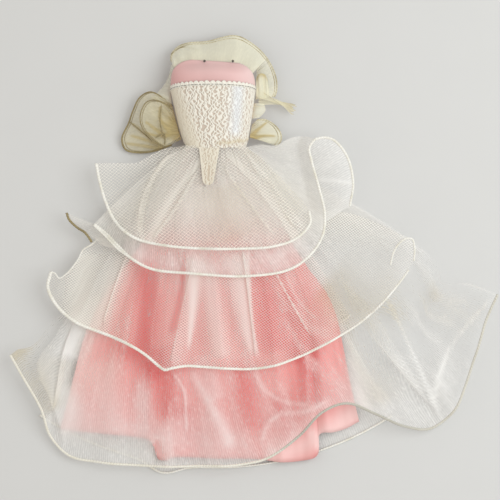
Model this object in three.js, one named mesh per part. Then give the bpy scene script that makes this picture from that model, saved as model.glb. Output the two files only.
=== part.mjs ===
// A fashion doll's ball gown, empty and laid on its back.
// X runs to the right of the front, Y from the waist to the neckline, Z up from the table.
// The origin is the middle of the waist, on the table. All sizes are in millimetres.
import * as THREE from 'three';

// Cloth, cords and the room between pieces
const SHEET = 0.5; // a skirt sheet
const SATIN = 0.8; // the bodice's lined satin
const CORD_RADIUS = 0.9; // hem cord of the front tiers
const BACK_CORD_RADIUS = 0.6; // the same cord where the gown lies on it
const WIRE_RADIUS = 0.6; // wired edge of the ruffle
const CLEARANCE = 0.35; // between two sewn pieces
const CORD_SIDES = 5;

// Waist and skirt
const WAIST_HALF_WIDTH = 16.6;
const WAIST_CROWN = 15.5; // height of the lowest front layer at the waist
const CROWN_FALL = 6; // how much that layer drops on its way to the hem
const SKIRT_LENGTH = 182; // from the waist to the lowest hem
const SKIRT_WIDTH = 276.5; // between the two ends of that hem
const CROWN_HALF_WIDTH = 32; // half of the raised middle, at the waist
const CROWN_FLARE = 0.4; // how fast it widens towards the hem
const CROWN_FULLNESS = 0.6; // below 1 the middle is flatter and the sides steeper
const EDGE_HEIGHT_WAIST = 8.2; // height of the sides beside the waist
const EDGE_HEIGHT_HEM = 4.6;
const EDGE_FALL_FROM = 40;
const EDGE_FALL_TO = 100;
const OUTSIDE_HEIGHT = -1.3; // beside the backs, where the lowest tier reaches the table
const OUTSIDE_FROM = 36; // degrees from straight down
const OUTSIDE_TO = 62;
const OUTSIDE_START = 8; // distance from the waist
const OUTSIDE_END = 45;
const LAYER_STEP_WAIST = 1; // from one front tier to the next, in the seam
const LAYER_STEP_SKIRT = 3; // and where the tiers stand apart
const LAYER_SPREAD = 45; // distance from the waist where they have spread
const PULL = 0.45; // share of its length over which the cloth keeps the direction of its gathers
const COVERED_FOLD = 1.1; // height that a fold may have under the next tier
const COVERED_FROM = 0.1; // share of the tier's length where such a fold starts
const COVERED_TO = 0.45; // and where it has its height

// Backs of the skirt, which lie on the table
const BACK_TOP = 2.4; // the back waist is a little higher than the front
const BACK_HALF_WIDTH = 15;
const BACK_STEP = 1.75; // one sheet and one cord
const BACK_SETTLE = 18; // beyond a hem, the next sheet comes down over this length
const BACK_SETTLE_START = 8; // and stays up this far past it
const BACK_CORD_LIFT = 0.05; // keeps a back cord off the table

// Bodice
const BODICE_HALF_WAIST = 17.2;
const BODICE_HALF_BUST = 24.8;
const UNDERARM = 32; // height of the bust line above the waist
const BODICE_HEIGHT = 49.5;
const BODICE_LEAN = 1.7; // the bust lies this far to the left of the waist
const BODICE_BACK_HEIGHT = 44;
const BACK_WAIST = 4; // lower edge of the back halves
const SEAM_WAIST = 8.5; // height of the side seam at the waist
const SEAM_RISE = 1; // and how much it climbs to the underarm
const FRONT_RISE_WAIST = 10.7; // the front stands this far above the side seam
const FRONT_RISE_BUST = 14;
const NECK_ROLL = 5.5; // the neckline rolls in by this much
const NECK_ROLL_LENGTH = 9;
const FRONT_FULLNESS = 0.7; // below 1 the front is flatter and its sides steeper
const ROUNDING_FROM = 0.6; // share of the way to the side where the top edge starts down
const LAP = 3.5; // each back half passes the centre by this much
const BACK_SLOPE = 0.5; // share of a back half over which its top edge climbs from the underarm
const BACK_CURL = 0.45; // share of a back half that curls up to the side seam
const BACK_CURL_FULLNESS = 1.2;
const BACK_EVENING = 1.5; // above 1 the curl is drawn finer than the flat part
const LACE = 0.5;
const LACE_HEIGHT = 35;
const LACE_ARCH = 2.5; // the lace is this much lower at the sides
const LACE_TURN = 84; // degrees that it reaches round the front, from its middle
const EDGING_HEIGHT = 3;
const SCALLOPS = 22;
const SCALLOP_DEPTH = 0.9;

// Press snaps between the back halves
const SNAP_RADIUS = 2.4;
const SNAP_PLATE = 0.45;
const SOCKET_HEIGHT = 0.9;
const SOCKET_LIP = 0.5;
const STUD_RADIUS = 0.7;
const STUD_TIP = 0.7; // share of the stud's radius at its tip
const STUD_SHOULDER = 0.6; // share of its length below which it narrows
const STUD_CLEARANCE = 0.5;
const STUD_LENGTH = 0.6;
const SNAP_PLACES = { lower: 13, upper: 35 };

// Lace point and tacks
const POINT_TOP_WIDTH = 12;
const POINT_TIP_WIDTH = 4.6;
const POINT_LENGTH = 22;
const POINT_SHEET = 0.6; // two layers of lace
const POINT_ROUND_FROM = 0.8; // share of its length where the tip starts to round
const POINT_ROUNDING = 0.8;
const POINT_PLACE = -4.4; // its middle, left of the waist's
const POINT_LIFT = 1.5; // room that its tip leaves for the net's folds
const TACK_RADIUS = 0.7;
const TACK_PLACES = { left: -6.3, right: 9.7 };

// Hems of the front tiers from left to right: x, y and how far the hem stands up.
// They are drawn for a skirt of this size, and follow its width and length.
const DRAWN_LENGTH = 182;
const DRAWN_WIDTH = 276.5;
const UNDERSKIRT_HEM = [
  [-89, -161, 0], [-61, -165.5, 0], [-40, -168.5, 0], [-24, -175.5, 0], [0, -178, 0],
  [25, -178.5, 0], [45, -179, 0], [60, -175, 0], [72, -164, 0], [82, -156, 0],
];
const OVERSKIRT_HEM = [
  [-117, -118.5, 6], [-109, -133, 3], [-99.5, -150, 1], [-95, -165, 0], [-84, -176.5, 0], [-66, -180, 0],
  [-37.5, -182, 0], [-9, -182, 0], [15, -181, 1], [30, -177, 3], [47, -164.5, 7], [60, -150.5, 10],
  [74, -145.5, 11], [91, -152, 7], [107, -159, 3], [122, -161, 1], [135, -151.5, 1], [142, -137, 3],
  [147.5, -119, 6], [153, -100, 11], [159.5, -84, 17],
];
const MIDDLE_HEM = [
  [-93.5, -71, 9], [-95.5, -80, 6], [-90, -91, 3], [-79, -100, 1], [-59, -109, 1], [-44.5, -116, 3],
  [-33, -123, 4], [-23, -125.5, 2], [-4, -126.5, 0], [14, -127, 0], [31, -125, 1], [48, -119, 2],
  [65, -110.5, 2], [82, -100, 3], [97, -86, 5], [109.5, -70, 9],
];
const SECOND_HEM = [
  [-69.5, -44, 3], [-62.5, -49.5, 1], [-56, -56, 0], [-47, -64, 0], [-36, -69.5, 0], [-12.5, -72, 0],
  [16, -73.5, 0], [41, -70, 0], [53, -62, 0], [60.5, -51, 1], [62, -38.5, 3], [58.5, -23, 6], [54, -7, 9],
];
const LOOP_FROM = 0.8; // share of the second tier's hem where the turned part starts
const SECOND_LOOP_HEM = [
  [58, 4, 11], [66, 4, 11], [73.5, -4, 9], [77.5, -15, 6], [78, -25, 3], [76, -34, 1],
];
const UPPER_HEM = [
  [-68, -9.5, 4], [-65, -23.5, 3], [-57.5, -42, 1], [-45.5, -52, 0], [-26, -56.5, 0], [-4, -58, 0],
  [14, -58, 0], [31, -57, 0], [45, -52.5, 0], [53.5, -43.5, 0], [53, -36.5, 1],
];

// Wired edges of the ruffle, from top to bottom at the sides and from left to right at the top: x, y, z
const RUFFLE_TOP_WIRE = [
  [-25.5, 50.5, 9], [-24.5, 54.5, 8], [-20, 58.5, 7], [-9, 60, 7], [9, 63.5, 7], [21, 58.5, 7], [28.8, 51, 8],
];
const RUFFLE_LEFT_OUTER_WIRE = [
  [-29, 27.5, 9.5], [-37.5, 31.5, 8], [-43.5, 28.5, 7], [-47.5, 21, 6], [-50, 14, 5], [-54, 5, 3.5],
  [-52, -1, 2.5], [-44, -2.8, 2.5], [-34, -1.5, 3.5], [-25.5, 1.5, 6.5],
];
const RUFFLE_LEFT_INNER_WIRE = [
  [-28, 22.5, 12.5], [-36, 26, 14], [-41.5, 22, 13.5], [-42.5, 15.5, 12], [-38, 6.5, 10], [-30.5, 2.5, 9],
];
const RUFFLE_RIGHT_WIRE = [
  [29.8, 48.5, 8], [32, 45, 7], [34.7, 38, 6], [35.4, 33, 6], [34, 28.8, 6.5],
];
const RUFFLE_FAN_WIRE = [
  [23.5, 15.5, 9.5], [27.5, 15.8, 8], [32.5, 13.5, 6], [36.5, 9, 4.8], [37.3, 4.5, 4], [35, 0.8, 4],
];
const RUFFLE_TAIL = [
  [25.8, 25.3, 9.8], [31, 25, 8.2], [38, 24, 5.6], [45, 21.5, 3.6],
];
const RUFFLE_TAIL_WIDTH = 4;
const RUFFLE_TAIL_TWIST = 150; // degrees from end to end
const RUFFLE_PUFF = 1.5; // the organza stands this far above a straight line from its seam to its wire
const RUFFLE_SHEET = 0.5;
// Lengths of the side seams that the ruffle is sewn to: from and to, above the waist
const SEAM_LEFT_OUTER = [24, 4.5];
const SEAM_LEFT_INNER = [15, 6];
const SEAM_RIGHT = [42, 28];
const SEAM_FAN = [13, 5.5];
const OUTER_SEAM = 0.3; // height of the outer lengths' stitching above the side seam
const INNER_SEAM = 1.4; // height of the inner loop's
const RUFFLE_TOP_TURN = 54; // the top length reaches this many degrees round the neckline

// Folds of each tier: place along its hem from 0 to 1, half width and height
const OVERSKIRT_FOLDS = [
  [0.1, 0.03, 3], [0.24, 0.022, 2.5], [0.33, 0.025, 4], [0.41, 0.02, 3], [0.58, 0.03, 3.5], [0.71, 0.03, 4],
  [0.82, 0.025, 4], [0.92, 0.03, 5],
];
const MIDDLE_FOLDS = [
  [0.13, 0.025, 3], [0.25, 0.022, 3.5], [0.36, 0.025, 4.5], [0.47, 0.02, 3], [0.58, 0.025, 4.5],
  [0.7, 0.025, 4], [0.84, 0.03, 3.5],
];
const SECOND_FOLDS = [
  [0.15, 0.03, 1.6], [0.32, 0.03, 1.8], [0.5, 0.03, 1.5], [0.66, 0.03, 1.8], [0.82, 0.03, 1.5],
];
const UPPER_FOLDS = [
  [0.12, 0.035, 3], [0.27, 0.04, 3.5], [0.43, 0.03, 2], [0.6, 0.04, 3.5], [0.78, 0.04, 3], [0.92, 0.03, 2],
];
const UNDERSKIRT_FOLDS = [
  [0.16, 0.04, 1.1], [0.38, 0.04, 1.2], [0.6, 0.04, 1.2], [0.84, 0.04, 1.1],
];
// Backs: reach from the waist and half of the fan's angle in degrees
const BACKS = {
  upper: { reach: 58, angle: 44 },
  second: { reach: 72, angle: 46 },
  middle: { reach: 125, angle: 38 },
  overskirt: { reach: 186, angle: 33 },
  underskirt: { reach: 172, angle: 25 },
};
const BACK_ORDER = ['upper', 'second', 'middle', 'overskirt', 'underskirt'];

// Fronts: place in the stack, share of the length from which the tier shows, half of the fan's angle
const FRONTS = {
  underskirt: { hem: UNDERSKIRT_HEM, layer: 0, folds: UNDERSKIRT_FOLDS, shownFrom: 0.9, fan: 45 },
  overskirt: { hem: OVERSKIRT_HEM, layer: 1, folds: OVERSKIRT_FOLDS, shownFrom: 0.8, fan: 62, cord: true },
  middle: { hem: MIDDLE_HEM, layer: 2, folds: MIDDLE_FOLDS, shownFrom: 0.66, fan: 70, cord: true },
  second: { hem: SECOND_HEM, layer: 3, folds: SECOND_FOLDS, shownFrom: 0.85, fan: 82, cord: true },
  upper: { hem: UPPER_HEM, layer: 4, folds: UPPER_FOLDS, shownFrom: 0.15, fan: 82, cord: true },
};
const TITLE = {
  underskirt: 'underskirt', overskirt: 'organza_overskirt', middle: 'middle_net_tier',
  second: 'second_organza_tier', upper: 'upper_net_tier',
};

// How finely each sheet is drawn: steps across and along
const FRONT_SEGMENTS = {
  underskirt: [18, 6], overskirt: [46, 7], middle: [38, 6], second: [28, 5], upper: [26, 5],
};
const BACK_SEGMENTS = {
  upper: [11, 1], second: [11, 4], middle: [13, 7], overskirt: [15, 9], underskirt: [7, 9],
};
const BODICE_SEGMENTS = [18, 8];
const LACE_SEGMENTS = [16, 6];
const EDGING_SEGMENTS = [SCALLOPS * 3, 1];
const BACK_HALF_SEGMENTS = [9, 5];
const LOOP_SEGMENTS = [16, 3];
const POINT_SEGMENTS = [6, 9];
const TAIL_SEGMENTS = [3, 10];
const RUFFLE_ROW_SEGMENTS = 3;
const RUFFLE_SEGMENTS = { top: 18, leftOuter: 22, leftInner: 16, right: 12, fan: 12 };
const SNAP_SEGMENTS = 12;
const TACK_SEGMENTS = [7, 5];

const smooth = (from, to, value) => THREE.MathUtils.smoothstep(value, from, to);
const mix = THREE.MathUtils.lerp;

// Finishes
const finish = (color, roughness, metalness = 0) =>
  new THREE.MeshStandardMaterial({ color, roughness, metalness, side: THREE.DoubleSide });
const pinkSatin = finish(0xe89a98, 0.45);
const whiteLace = finish(0xefe8de, 0.5);
const netCloth = finish(0xefece6, 0.9);
const organza = finish(0xe6e4dc, 0.7);
const yellowedOrganza = finish(0xcfc6a4, 0.75);
const hemCord = finish(0xf1eee6, 0.6);
const agedWire = finish(0xb3a47c, 0.6);
const darkThread = finish(0x4b433c, 0.8);
const snapMetal = finish(0xc9ccd0, 0.35, 1);

const gown = new THREE.Group();

function add(name, geometry, material) {
  const mesh = new THREE.Mesh(geometry, material);
  mesh.name = name;
  gown.add(mesh);
  return mesh;
}

// A closed solid of even thickness around a surface. surface(u, v) gives a point for u and v from 0 to 1.
function sheetGeometry(surface, across, along, thickness) {
  const middle = [];
  for (let j = 0; j <= along; j++) {
    for (let i = 0; i <= across; i++) middle.push(surface(i / across, j / along));
  }
  const at = (i, j) => j * (across + 1) + i;
  const point = (i, j) => middle[at(THREE.MathUtils.clamp(i, 0, across), THREE.MathUtils.clamp(j, 0, along))];
  const count = middle.length;
  const positions = new Float32Array(count * 6);
  for (let j = 0; j <= along; j++) {
    for (let i = 0; i <= across; i++) {
      const sideways = point(i + 1, j).clone().sub(point(i - 1, j));
      const lengthways = point(i, j + 1).clone().sub(point(i, j - 1));
      const normal = sideways.cross(lengthways).normalize();
      const k = at(i, j);
      middle[k].clone().addScaledVector(normal, thickness / 2).toArray(positions, k * 3);
      middle[k].clone().addScaledVector(normal, -thickness / 2).toArray(positions, (count + k) * 3);
    }
  }
  const index = [];
  const quad = (a, b, c, d) => index.push(a, b, c, a, c, d);
  for (let j = 0; j < along; j++) {
    for (let i = 0; i < across; i++) {
      quad(at(i, j), at(i + 1, j), at(i + 1, j + 1), at(i, j + 1));
      quad(count + at(i, j), count + at(i, j + 1), count + at(i + 1, j + 1), count + at(i + 1, j));
    }
  }
  const rim = (k, next) => quad(k, count + k, count + next, next);
  for (let i = 0; i < across; i++) {
    rim(at(i, 0), at(i + 1, 0));
    rim(at(i + 1, along), at(i, along));
  }
  for (let j = 0; j < along; j++) {
    rim(at(across, j), at(across, j + 1));
    rim(at(0, j + 1), at(0, j));
  }
  const geometry = new THREE.BufferGeometry();
  geometry.setAttribute('position', new THREE.BufferAttribute(positions, 3));
  geometry.setIndex(index);
  geometry.computeVertexNormals();
  return geometry;
}

// A curve from a function, stepped as that function is, so that a cord has the same corners as its hem
class Route extends THREE.Curve {
  constructor(place) {
    super();
    this.place = place;
  }

  getPoint(s, target = new THREE.Vector3()) {
    return target.copy(this.place(s));
  }

  getUtoTmapping(share) {
    return share;
  }
}

function cordGeometry(place, radius, steps, sides) {
  const section = new THREE.Shape();
  for (let i = 0; i < sides; i++) {
    const turn = (i / sides) * Math.PI * 2;
    if (i === 0) section.moveTo(radius * Math.cos(turn), radius * Math.sin(turn));
    else section.lineTo(radius * Math.cos(turn), radius * Math.sin(turn));
  }
  section.closePath();
  return new THREE.ExtrudeGeometry(section, { steps, bevelEnabled: false, extrudePath: new Route(place) });
}

const splineThrough = (points) =>
  new THREE.CatmullRomCurve3(points.map(([x, y, z]) => new THREE.Vector3(x, y, z)), false, 'centripetal');
const widthShare = SKIRT_WIDTH / DRAWN_WIDTH;
const lengthShare = SKIRT_LENGTH / DRAWN_LENGTH;
const hemThrough = (points) => splineThrough(points.map(([x, y, z]) => [x * widthShare, y * lengthShare, z]));

// Height of the lowest front layer over the table
const reachFromWaist = (x, y) => Math.hypot(Math.max(Math.abs(x) - WAIST_HALF_WIDTH, 0), Math.min(y, 0));

function frontHeight(x, y) {
  const down = Math.max(0, -y);
  const crown = WAIST_CROWN - CROWN_FALL * smooth(0, SKIRT_LENGTH, down);
  const fall = smooth(EDGE_FALL_FROM, EDGE_FALL_TO, reachFromWaist(x, y));
  const beside = THREE.MathUtils.radToDeg(Math.atan2(Math.abs(x), down));
  const away = smooth(OUTSIDE_START, OUTSIDE_END, reachFromWaist(x, y));
  const outside = smooth(OUTSIDE_FROM, OUTSIDE_TO, beside) * away;
  const edge = mix(mix(EDGE_HEIGHT_WAIST, EDGE_HEIGHT_HEM, fall), OUTSIDE_HEIGHT, outside);
  const inside = 1 - Math.abs(x) / (CROWN_HALF_WIDTH + CROWN_FLARE * down);
  return edge + (crown - edge) * Math.pow(smooth(0, 1, inside), CROWN_FULLNESS);
}

const layerStep = (x, y) =>
  mix(LAYER_STEP_WAIST, LAYER_STEP_SKIRT, smooth(0, LAYER_SPREAD, reachFromWaist(x, y)));

const foldHeight = (folds, s) =>
  folds.reduce((sum, [place, width, height]) => sum + height * Math.exp(-(((s - place) / width) ** 2)), 0);

// A front tier fans out from the waist to its hem. Its folds stay low under the next tier, which
// ends at the share shownFrom of its length, and its hem stands up beyond that.
function frontTier({ hem, layer, folds, shownFrom, fan, cord }) {
  const hemLine = hemThrough(hem);
  const tallest = Math.max(...folds.map((fold) => fold[2]));
  const place = (s, t, setback) => {
    const edge = hemLine.getPointAt(s);
    const top = new THREE.Vector3(-WAIST_HALF_WIDTH * Math.cos(Math.PI * s), -CLEARANCE, 0);
    const turn = THREE.MathUtils.degToRad(mix(-fan, fan, s));
    const end = new THREE.Vector3(edge.x, edge.y, 0);
    const length = end.distanceTo(top);
    const outward = new THREE.Vector3(Math.sin(turn), -Math.cos(turn), 0);
    const pull = top.clone().addScaledVector(outward, length * PULL);
    const along = hemLine.getTangentAt(s);
    const inward = new THREE.Vector3(-along.y, along.x, 0).normalize();
    end.addScaledVector(inward, setback);
    const point = top.clone().multiplyScalar((1 - t) ** 2);
    point.addScaledVector(pull, 2 * t * (1 - t)).addScaledVector(end, t * t);
    const low = Math.min(1, COVERED_FOLD / tallest) * smooth(COVERED_FROM, COVERED_TO, t);
    const share = mix(low, 1, smooth(shownFrom, 1, t));
    const fold = foldHeight(folds, s) * share;
    const lift = edge.z * smooth(shownFrom, 1, t);
    point.z = frontHeight(point.x, point.y) + layer * layerStep(point.x, point.y) + fold + lift;
    return point;
  };
  const setback = cord ? CORD_RADIUS + CLEARANCE : 0;
  return { surface: (s, t) => place(s, t, setback), hem: (s) => place(s, 1, 0) };
}

// Backs lie on the table, each on the hems of the tiers outside it
const backReach = (name) => BACKS[name].reach * lengthShare;

function backPanel(name) {
  const { angle } = BACKS[name];
  const reach = backReach(name);
  const outside = BACK_ORDER.slice(0, BACK_ORDER.indexOf(name));
  const place = (s, distance, lowest) => {
    const turn = THREE.MathUtils.degToRad(mix(-angle, angle, s));
    const top = new THREE.Vector3(mix(-BACK_HALF_WIDTH, BACK_HALF_WIDTH, s), BACK_TOP, 0);
    const end = new THREE.Vector3(reach * Math.sin(turn), BACK_TOP - reach * Math.cos(turn), 0);
    const point = top.clone().lerp(end, distance / reach);
    point.z = lowest;
    for (const other of outside) {
      const past = backReach(other) + BACK_SETTLE_START;
      point.z += BACK_STEP * (1 - smooth(past, past + BACK_SETTLE, distance));
    }
    return point;
  };
  const hasCord = name !== 'underskirt';
  const end = reach - (hasCord ? BACK_CORD_RADIUS + CLEARANCE : 0);
  const cordLift = BACK_CORD_RADIUS + BACK_CORD_LIFT;
  return {
    surface: (s, t) => place(s, t * end, SHEET / 2),
    hem: (s) => place(s, reach, cordLift),
  };
}

// Bodice: sections across the body, from the waist to the neckline
const bodiceHalf = (y) => mix(BODICE_HALF_WAIST, BODICE_HALF_BUST, Math.min(y / UNDERARM, 1));
const bodiceMiddle = (y) => -BODICE_LEAN * Math.min(y / UNDERARM, 1);
const seamHeight = (y) => SEAM_WAIST + SEAM_RISE * Math.min(y / UNDERARM, 1);

function bodiceFront(turn, y, outward) {
  const rise = mix(FRONT_RISE_WAIST, FRONT_RISE_BUST, smooth(0, UNDERARM, y));
  const roll = NECK_ROLL * smooth(BODICE_HEIGHT - NECK_ROLL_LENGTH, BODICE_HEIGHT, y) ** 2;
  const half = bodiceHalf(y) + outward;
  const high = (rise - roll + outward) * Math.pow(Math.max(Math.cos(turn), 0), FRONT_FULLNESS);
  return new THREE.Vector3(bodiceMiddle(y) + half * Math.sin(turn), y, seamHeight(y) + CLEARANCE / 2 + high);
}

// Top edge of the front, level in the middle and rounded down to the underarm
function frontTop(turn) {
  const side = smooth(ROUNDING_FROM, 1, Math.abs(turn) / (Math.PI / 2));
  return mix(BODICE_HEIGHT, UNDERARM, side ** 2);
}

const acrossTurn = (u, most) => mix(-most, most, u);

add('bodice_front', sheetGeometry((u, v) => {
  const turn = acrossTurn(u, Math.PI / 2);
  return bodiceFront(turn, frontTop(turn) * v, 0);
}, ...BODICE_SEGMENTS, SATIN), pinkSatin);

const laceOut = SATIN / 2 + CLEARANCE + LACE / 2;
const laceTurn = THREE.MathUtils.degToRad(LACE_TURN);
const laceTop = (turn) => LACE_HEIGHT - LACE_ARCH * (turn / laceTurn) ** 2;
add('lace_overlay', sheetGeometry((u, v) => {
  const turn = acrossTurn(u, laceTurn);
  return bodiceFront(turn, laceTop(turn) * v, laceOut);
}, ...LACE_SEGMENTS, LACE), whiteLace);

const edgingOut = laceOut + LACE + CLEARANCE;
add('scalloped_edging', sheetGeometry((u, v) => {
  const turn = acrossTurn(u, laceTurn);
  const scallop = SCALLOP_DEPTH * Math.abs(Math.sin(Math.PI * SCALLOPS * u));
  const foot = laceTop(turn) - EDGING_HEIGHT / 2;
  return bodiceFront(turn, foot + v * (EDGING_HEIGHT - SCALLOP_DEPTH + scallop), edgingOut);
}, ...EDGING_SEGMENTS, LACE), whiteLace);

// Back halves: the left one lies outside, on the table, and the right one inside it
const outerLevel = SATIN / 2;
const snapRoom = CLEARANCE + SOCKET_HEIGHT + CLEARANCE + SNAP_PLATE + CLEARANCE;
const innerLevel = outerLevel + SATIN + snapRoom;

function backHalf(side, level) {
  return (u, v) => {
    const top = mix(UNDERARM, BODICE_BACK_HEIGHT, smooth(0, BACK_SLOPE, u));
    const y = mix(BACK_WAIST, top, v);
    const seam = bodiceMiddle(y) + side * bodiceHalf(y);
    const drop = seamHeight(y) - CLEARANCE / 2 - level;
    const x = mix(seam, -side * LAP, Math.pow(u, BACK_EVENING));
    const z = level + drop * (1 - Math.pow(Math.min(u / BACK_CURL, 1), BACK_CURL_FULLNESS)) ** 2;
    return new THREE.Vector3(x, y, z);
  };
}
add('bodice_back_left', sheetGeometry(backHalf(-1, outerLevel), ...BACK_HALF_SEGMENTS, SATIN), pinkSatin);
add('bodice_back_right', sheetGeometry(backHalf(1, innerLevel), ...BACK_HALF_SEGMENTS, SATIN), pinkSatin);

// Press snaps
const lathe = (points, segments) => {
  const geometry = new THREE.LatheGeometry(points.map(([r, h]) => new THREE.Vector2(r, h)), segments);
  return geometry.rotateX(Math.PI / 2);
};
const socketBottom = outerLevel + SATIN / 2 + CLEARANCE;
const studBottom = socketBottom + SOCKET_HEIGHT + CLEARANCE;
const socketBore = STUD_RADIUS + STUD_CLEARANCE;
for (const [place, y] of Object.entries(SNAP_PLACES)) {
  const socket = lathe([
    [socketBore, 0], [SNAP_RADIUS, 0], [SNAP_RADIUS, SNAP_PLATE], [socketBore + SOCKET_LIP, SOCKET_HEIGHT],
    [socketBore, SOCKET_HEIGHT], [socketBore, 0],
  ], SNAP_SEGMENTS);
  add(`snap_socket_${place}`, socket, snapMetal).position.set(0, y, socketBottom);
  const stud = lathe([
    [0, -STUD_LENGTH], [STUD_RADIUS * STUD_TIP, -STUD_LENGTH], [STUD_RADIUS, -STUD_LENGTH * STUD_SHOULDER],
    [STUD_RADIUS, 0], [SNAP_RADIUS, 0], [SNAP_RADIUS, SNAP_PLATE], [0, SNAP_PLATE],
  ], SNAP_SEGMENTS);
  add(`snap_stud_${place}`, stud, snapMetal).position.set(0, y, studBottom);
}

// Skirt fronts
const fronts = {};
for (const [key, settings] of Object.entries(FRONTS)) fronts[key] = frontTier(settings);
const clothOf = {
  underskirt: pinkSatin, overskirt: organza, middle: netCloth, second: organza, upper: netCloth,
};
for (const [key, tier] of Object.entries(fronts)) {
  add(`${TITLE[key]}_front`, sheetGeometry(tier.surface, ...FRONT_SEGMENTS[key], SHEET), clothOf[key]);
  if (key !== 'underskirt') {
    const cord = cordGeometry(tier.hem, CORD_RADIUS, FRONT_SEGMENTS[key][0], CORD_SIDES);
    add(`${TITLE[key]}_front_cord`, cord, hemCord);
  }
}

// The second tier's organza turns back under its own hem at the right
const loopHem = hemThrough(SECOND_LOOP_HEM);
const loopPlace = (s, setback) => {
  const point = loopHem.getPointAt(s);
  const along = loopHem.getTangentAt(s);
  const inward = new THREE.Vector3(along.y, -along.x, 0).normalize();
  const raised = frontHeight(point.x, point.y) + FRONTS.second.layer * layerStep(point.x, point.y);
  point.z += raised;
  return point.addScaledVector(inward, setback);
};
const loopDrop = CORD_RADIUS + CLEARANCE + SHEET;
add('second_organza_loop', sheetGeometry((u, v) => {
  const seam = fronts.second.hem(mix(1, LOOP_FROM, u));
  seam.z -= loopDrop;
  return seam.lerp(loopPlace(u, CORD_RADIUS + CLEARANCE), v);
}, ...LOOP_SEGMENTS, SHEET), organza);
const loopCord = cordGeometry((s) => loopPlace(s, 0), CORD_RADIUS, LOOP_SEGMENTS[0], CORD_SIDES);
add('second_organza_loop_cord', loopCord, hemCord);

// Lace point, over the net
add('lace_point', sheetGeometry((u, v) => {
  const y = mix(-CLEARANCE, -POINT_LENGTH, v);
  const rounding = Math.sqrt(1 - POINT_ROUNDING * smooth(POINT_ROUND_FROM, 1, v));
  const width = mix(POINT_TOP_WIDTH, POINT_TIP_WIDTH, v) * rounding;
  const x = POINT_PLACE + (u - 0.5) * width;
  const net = frontHeight(x, y) + FRONTS.upper.layer * layerStep(x, y);
  const over = (SHEET + POINT_SHEET) / 2 + CLEARANCE;
  return new THREE.Vector3(x, y, net + over + POINT_LIFT * smooth(0, POINT_LENGTH, -y));
}, ...POINT_SEGMENTS, POINT_SHEET), whiteLace);

// Tacks on the neckline
for (const [place, x] of Object.entries(TACK_PLACES)) {
  const y = BODICE_HEIGHT - TACK_RADIUS;
  const turn = Math.asin((x - bodiceMiddle(y)) / bodiceHalf(y));
  const seat = bodiceFront(turn, y - TACK_RADIUS, 0);
  const knot = new THREE.SphereGeometry(TACK_RADIUS, ...TACK_SEGMENTS);
  const tack = add(`neckline_tack_${place}`, knot, darkThread);
  tack.position.copy(seat);
  tack.position.z += SATIN + CLEARANCE + TACK_RADIUS;
}

// Ruffle: each length runs from its seam to its wired edge
function addRuffle(name, seam, wirePoints, steps) {
  const wire = splineThrough(wirePoints);
  const surface = (u, v) => {
    const from = seam(u);
    const edge = wire.getPointAt(u);
    const along = wire.getTangentAt(u);
    const inward = from.clone().sub(edge);
    inward.addScaledVector(along, -inward.dot(along)).normalize();
    edge.addScaledVector(inward, WIRE_RADIUS + CLEARANCE);
    const point = from.lerp(edge, v);
    point.z += RUFFLE_PUFF * Math.sin(Math.PI * v);
    return point;
  };
  add(name, sheetGeometry(surface, steps, RUFFLE_ROW_SEGMENTS, RUFFLE_SHEET), yellowedOrganza);
  add(`${name}_wire`, cordGeometry((s) => wire.getPointAt(s), WIRE_RADIUS, steps, CORD_SIDES), agedWire);
}
const sideSeam = (side, [from, to], above) => (u) => {
  const y = mix(from, to, u);
  const out = bodiceHalf(y) + SATIN / 2 + CLEARANCE + RUFFLE_SHEET / 2;
  return new THREE.Vector3(bodiceMiddle(y) + side * out, y, seamHeight(y) + above);
};
const neckSeam = (u) => {
  const turn = acrossTurn(u, THREE.MathUtils.degToRad(RUFFLE_TOP_TURN));
  const point = bodiceFront(turn, BODICE_HEIGHT, 0);
  point.y += CLEARANCE;
  return point;
};
const leftOuterSeam = sideSeam(-1, SEAM_LEFT_OUTER, OUTER_SEAM);
const leftInnerSeam = sideSeam(-1, SEAM_LEFT_INNER, INNER_SEAM);
const rightSeam = sideSeam(1, SEAM_RIGHT, OUTER_SEAM);
const fanSeam = sideSeam(1, SEAM_FAN, OUTER_SEAM);
addRuffle('ruffle_top', neckSeam, RUFFLE_TOP_WIRE, RUFFLE_SEGMENTS.top);
addRuffle('ruffle_left_outer', leftOuterSeam, RUFFLE_LEFT_OUTER_WIRE, RUFFLE_SEGMENTS.leftOuter);
addRuffle('ruffle_left_inner', leftInnerSeam, RUFFLE_LEFT_INNER_WIRE, RUFFLE_SEGMENTS.leftInner);
addRuffle('ruffle_right', rightSeam, RUFFLE_RIGHT_WIRE, RUFFLE_SEGMENTS.right);
addRuffle('ruffle_right_fan', fanSeam, RUFFLE_FAN_WIRE, RUFFLE_SEGMENTS.fan);

const tailLine = splineThrough(RUFFLE_TAIL);
add('ruffle_tail', sheetGeometry((u, v) => {
  const along = tailLine.getTangentAt(v);
  const flat = new THREE.Vector3(-along.y, along.x, 0).normalize();
  flat.applyAxisAngle(along, THREE.MathUtils.degToRad(RUFFLE_TAIL_TWIST * v));
  return tailLine.getPointAt(v).addScaledVector(flat, (u - 0.5) * RUFFLE_TAIL_WIDTH);
}, ...TAIL_SEGMENTS, RUFFLE_SHEET), yellowedOrganza);

// Skirt backs
for (const key of BACK_ORDER) {
  const panel = backPanel(key);
  add(`${TITLE[key]}_back`, sheetGeometry(panel.surface, ...BACK_SEGMENTS[key], SHEET), clothOf[key]);
  if (key !== 'underskirt') {
    const cord = cordGeometry(panel.hem, BACK_CORD_RADIUS, BACK_SEGMENTS[key][0], CORD_SIDES);
    add(`${TITLE[key]}_back_cord`, cord, hemCord);
  }
}

export default gown;
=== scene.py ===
"""A fashion doll's ball gown, empty and laid on its back: cloth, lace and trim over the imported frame."""

import math

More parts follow.
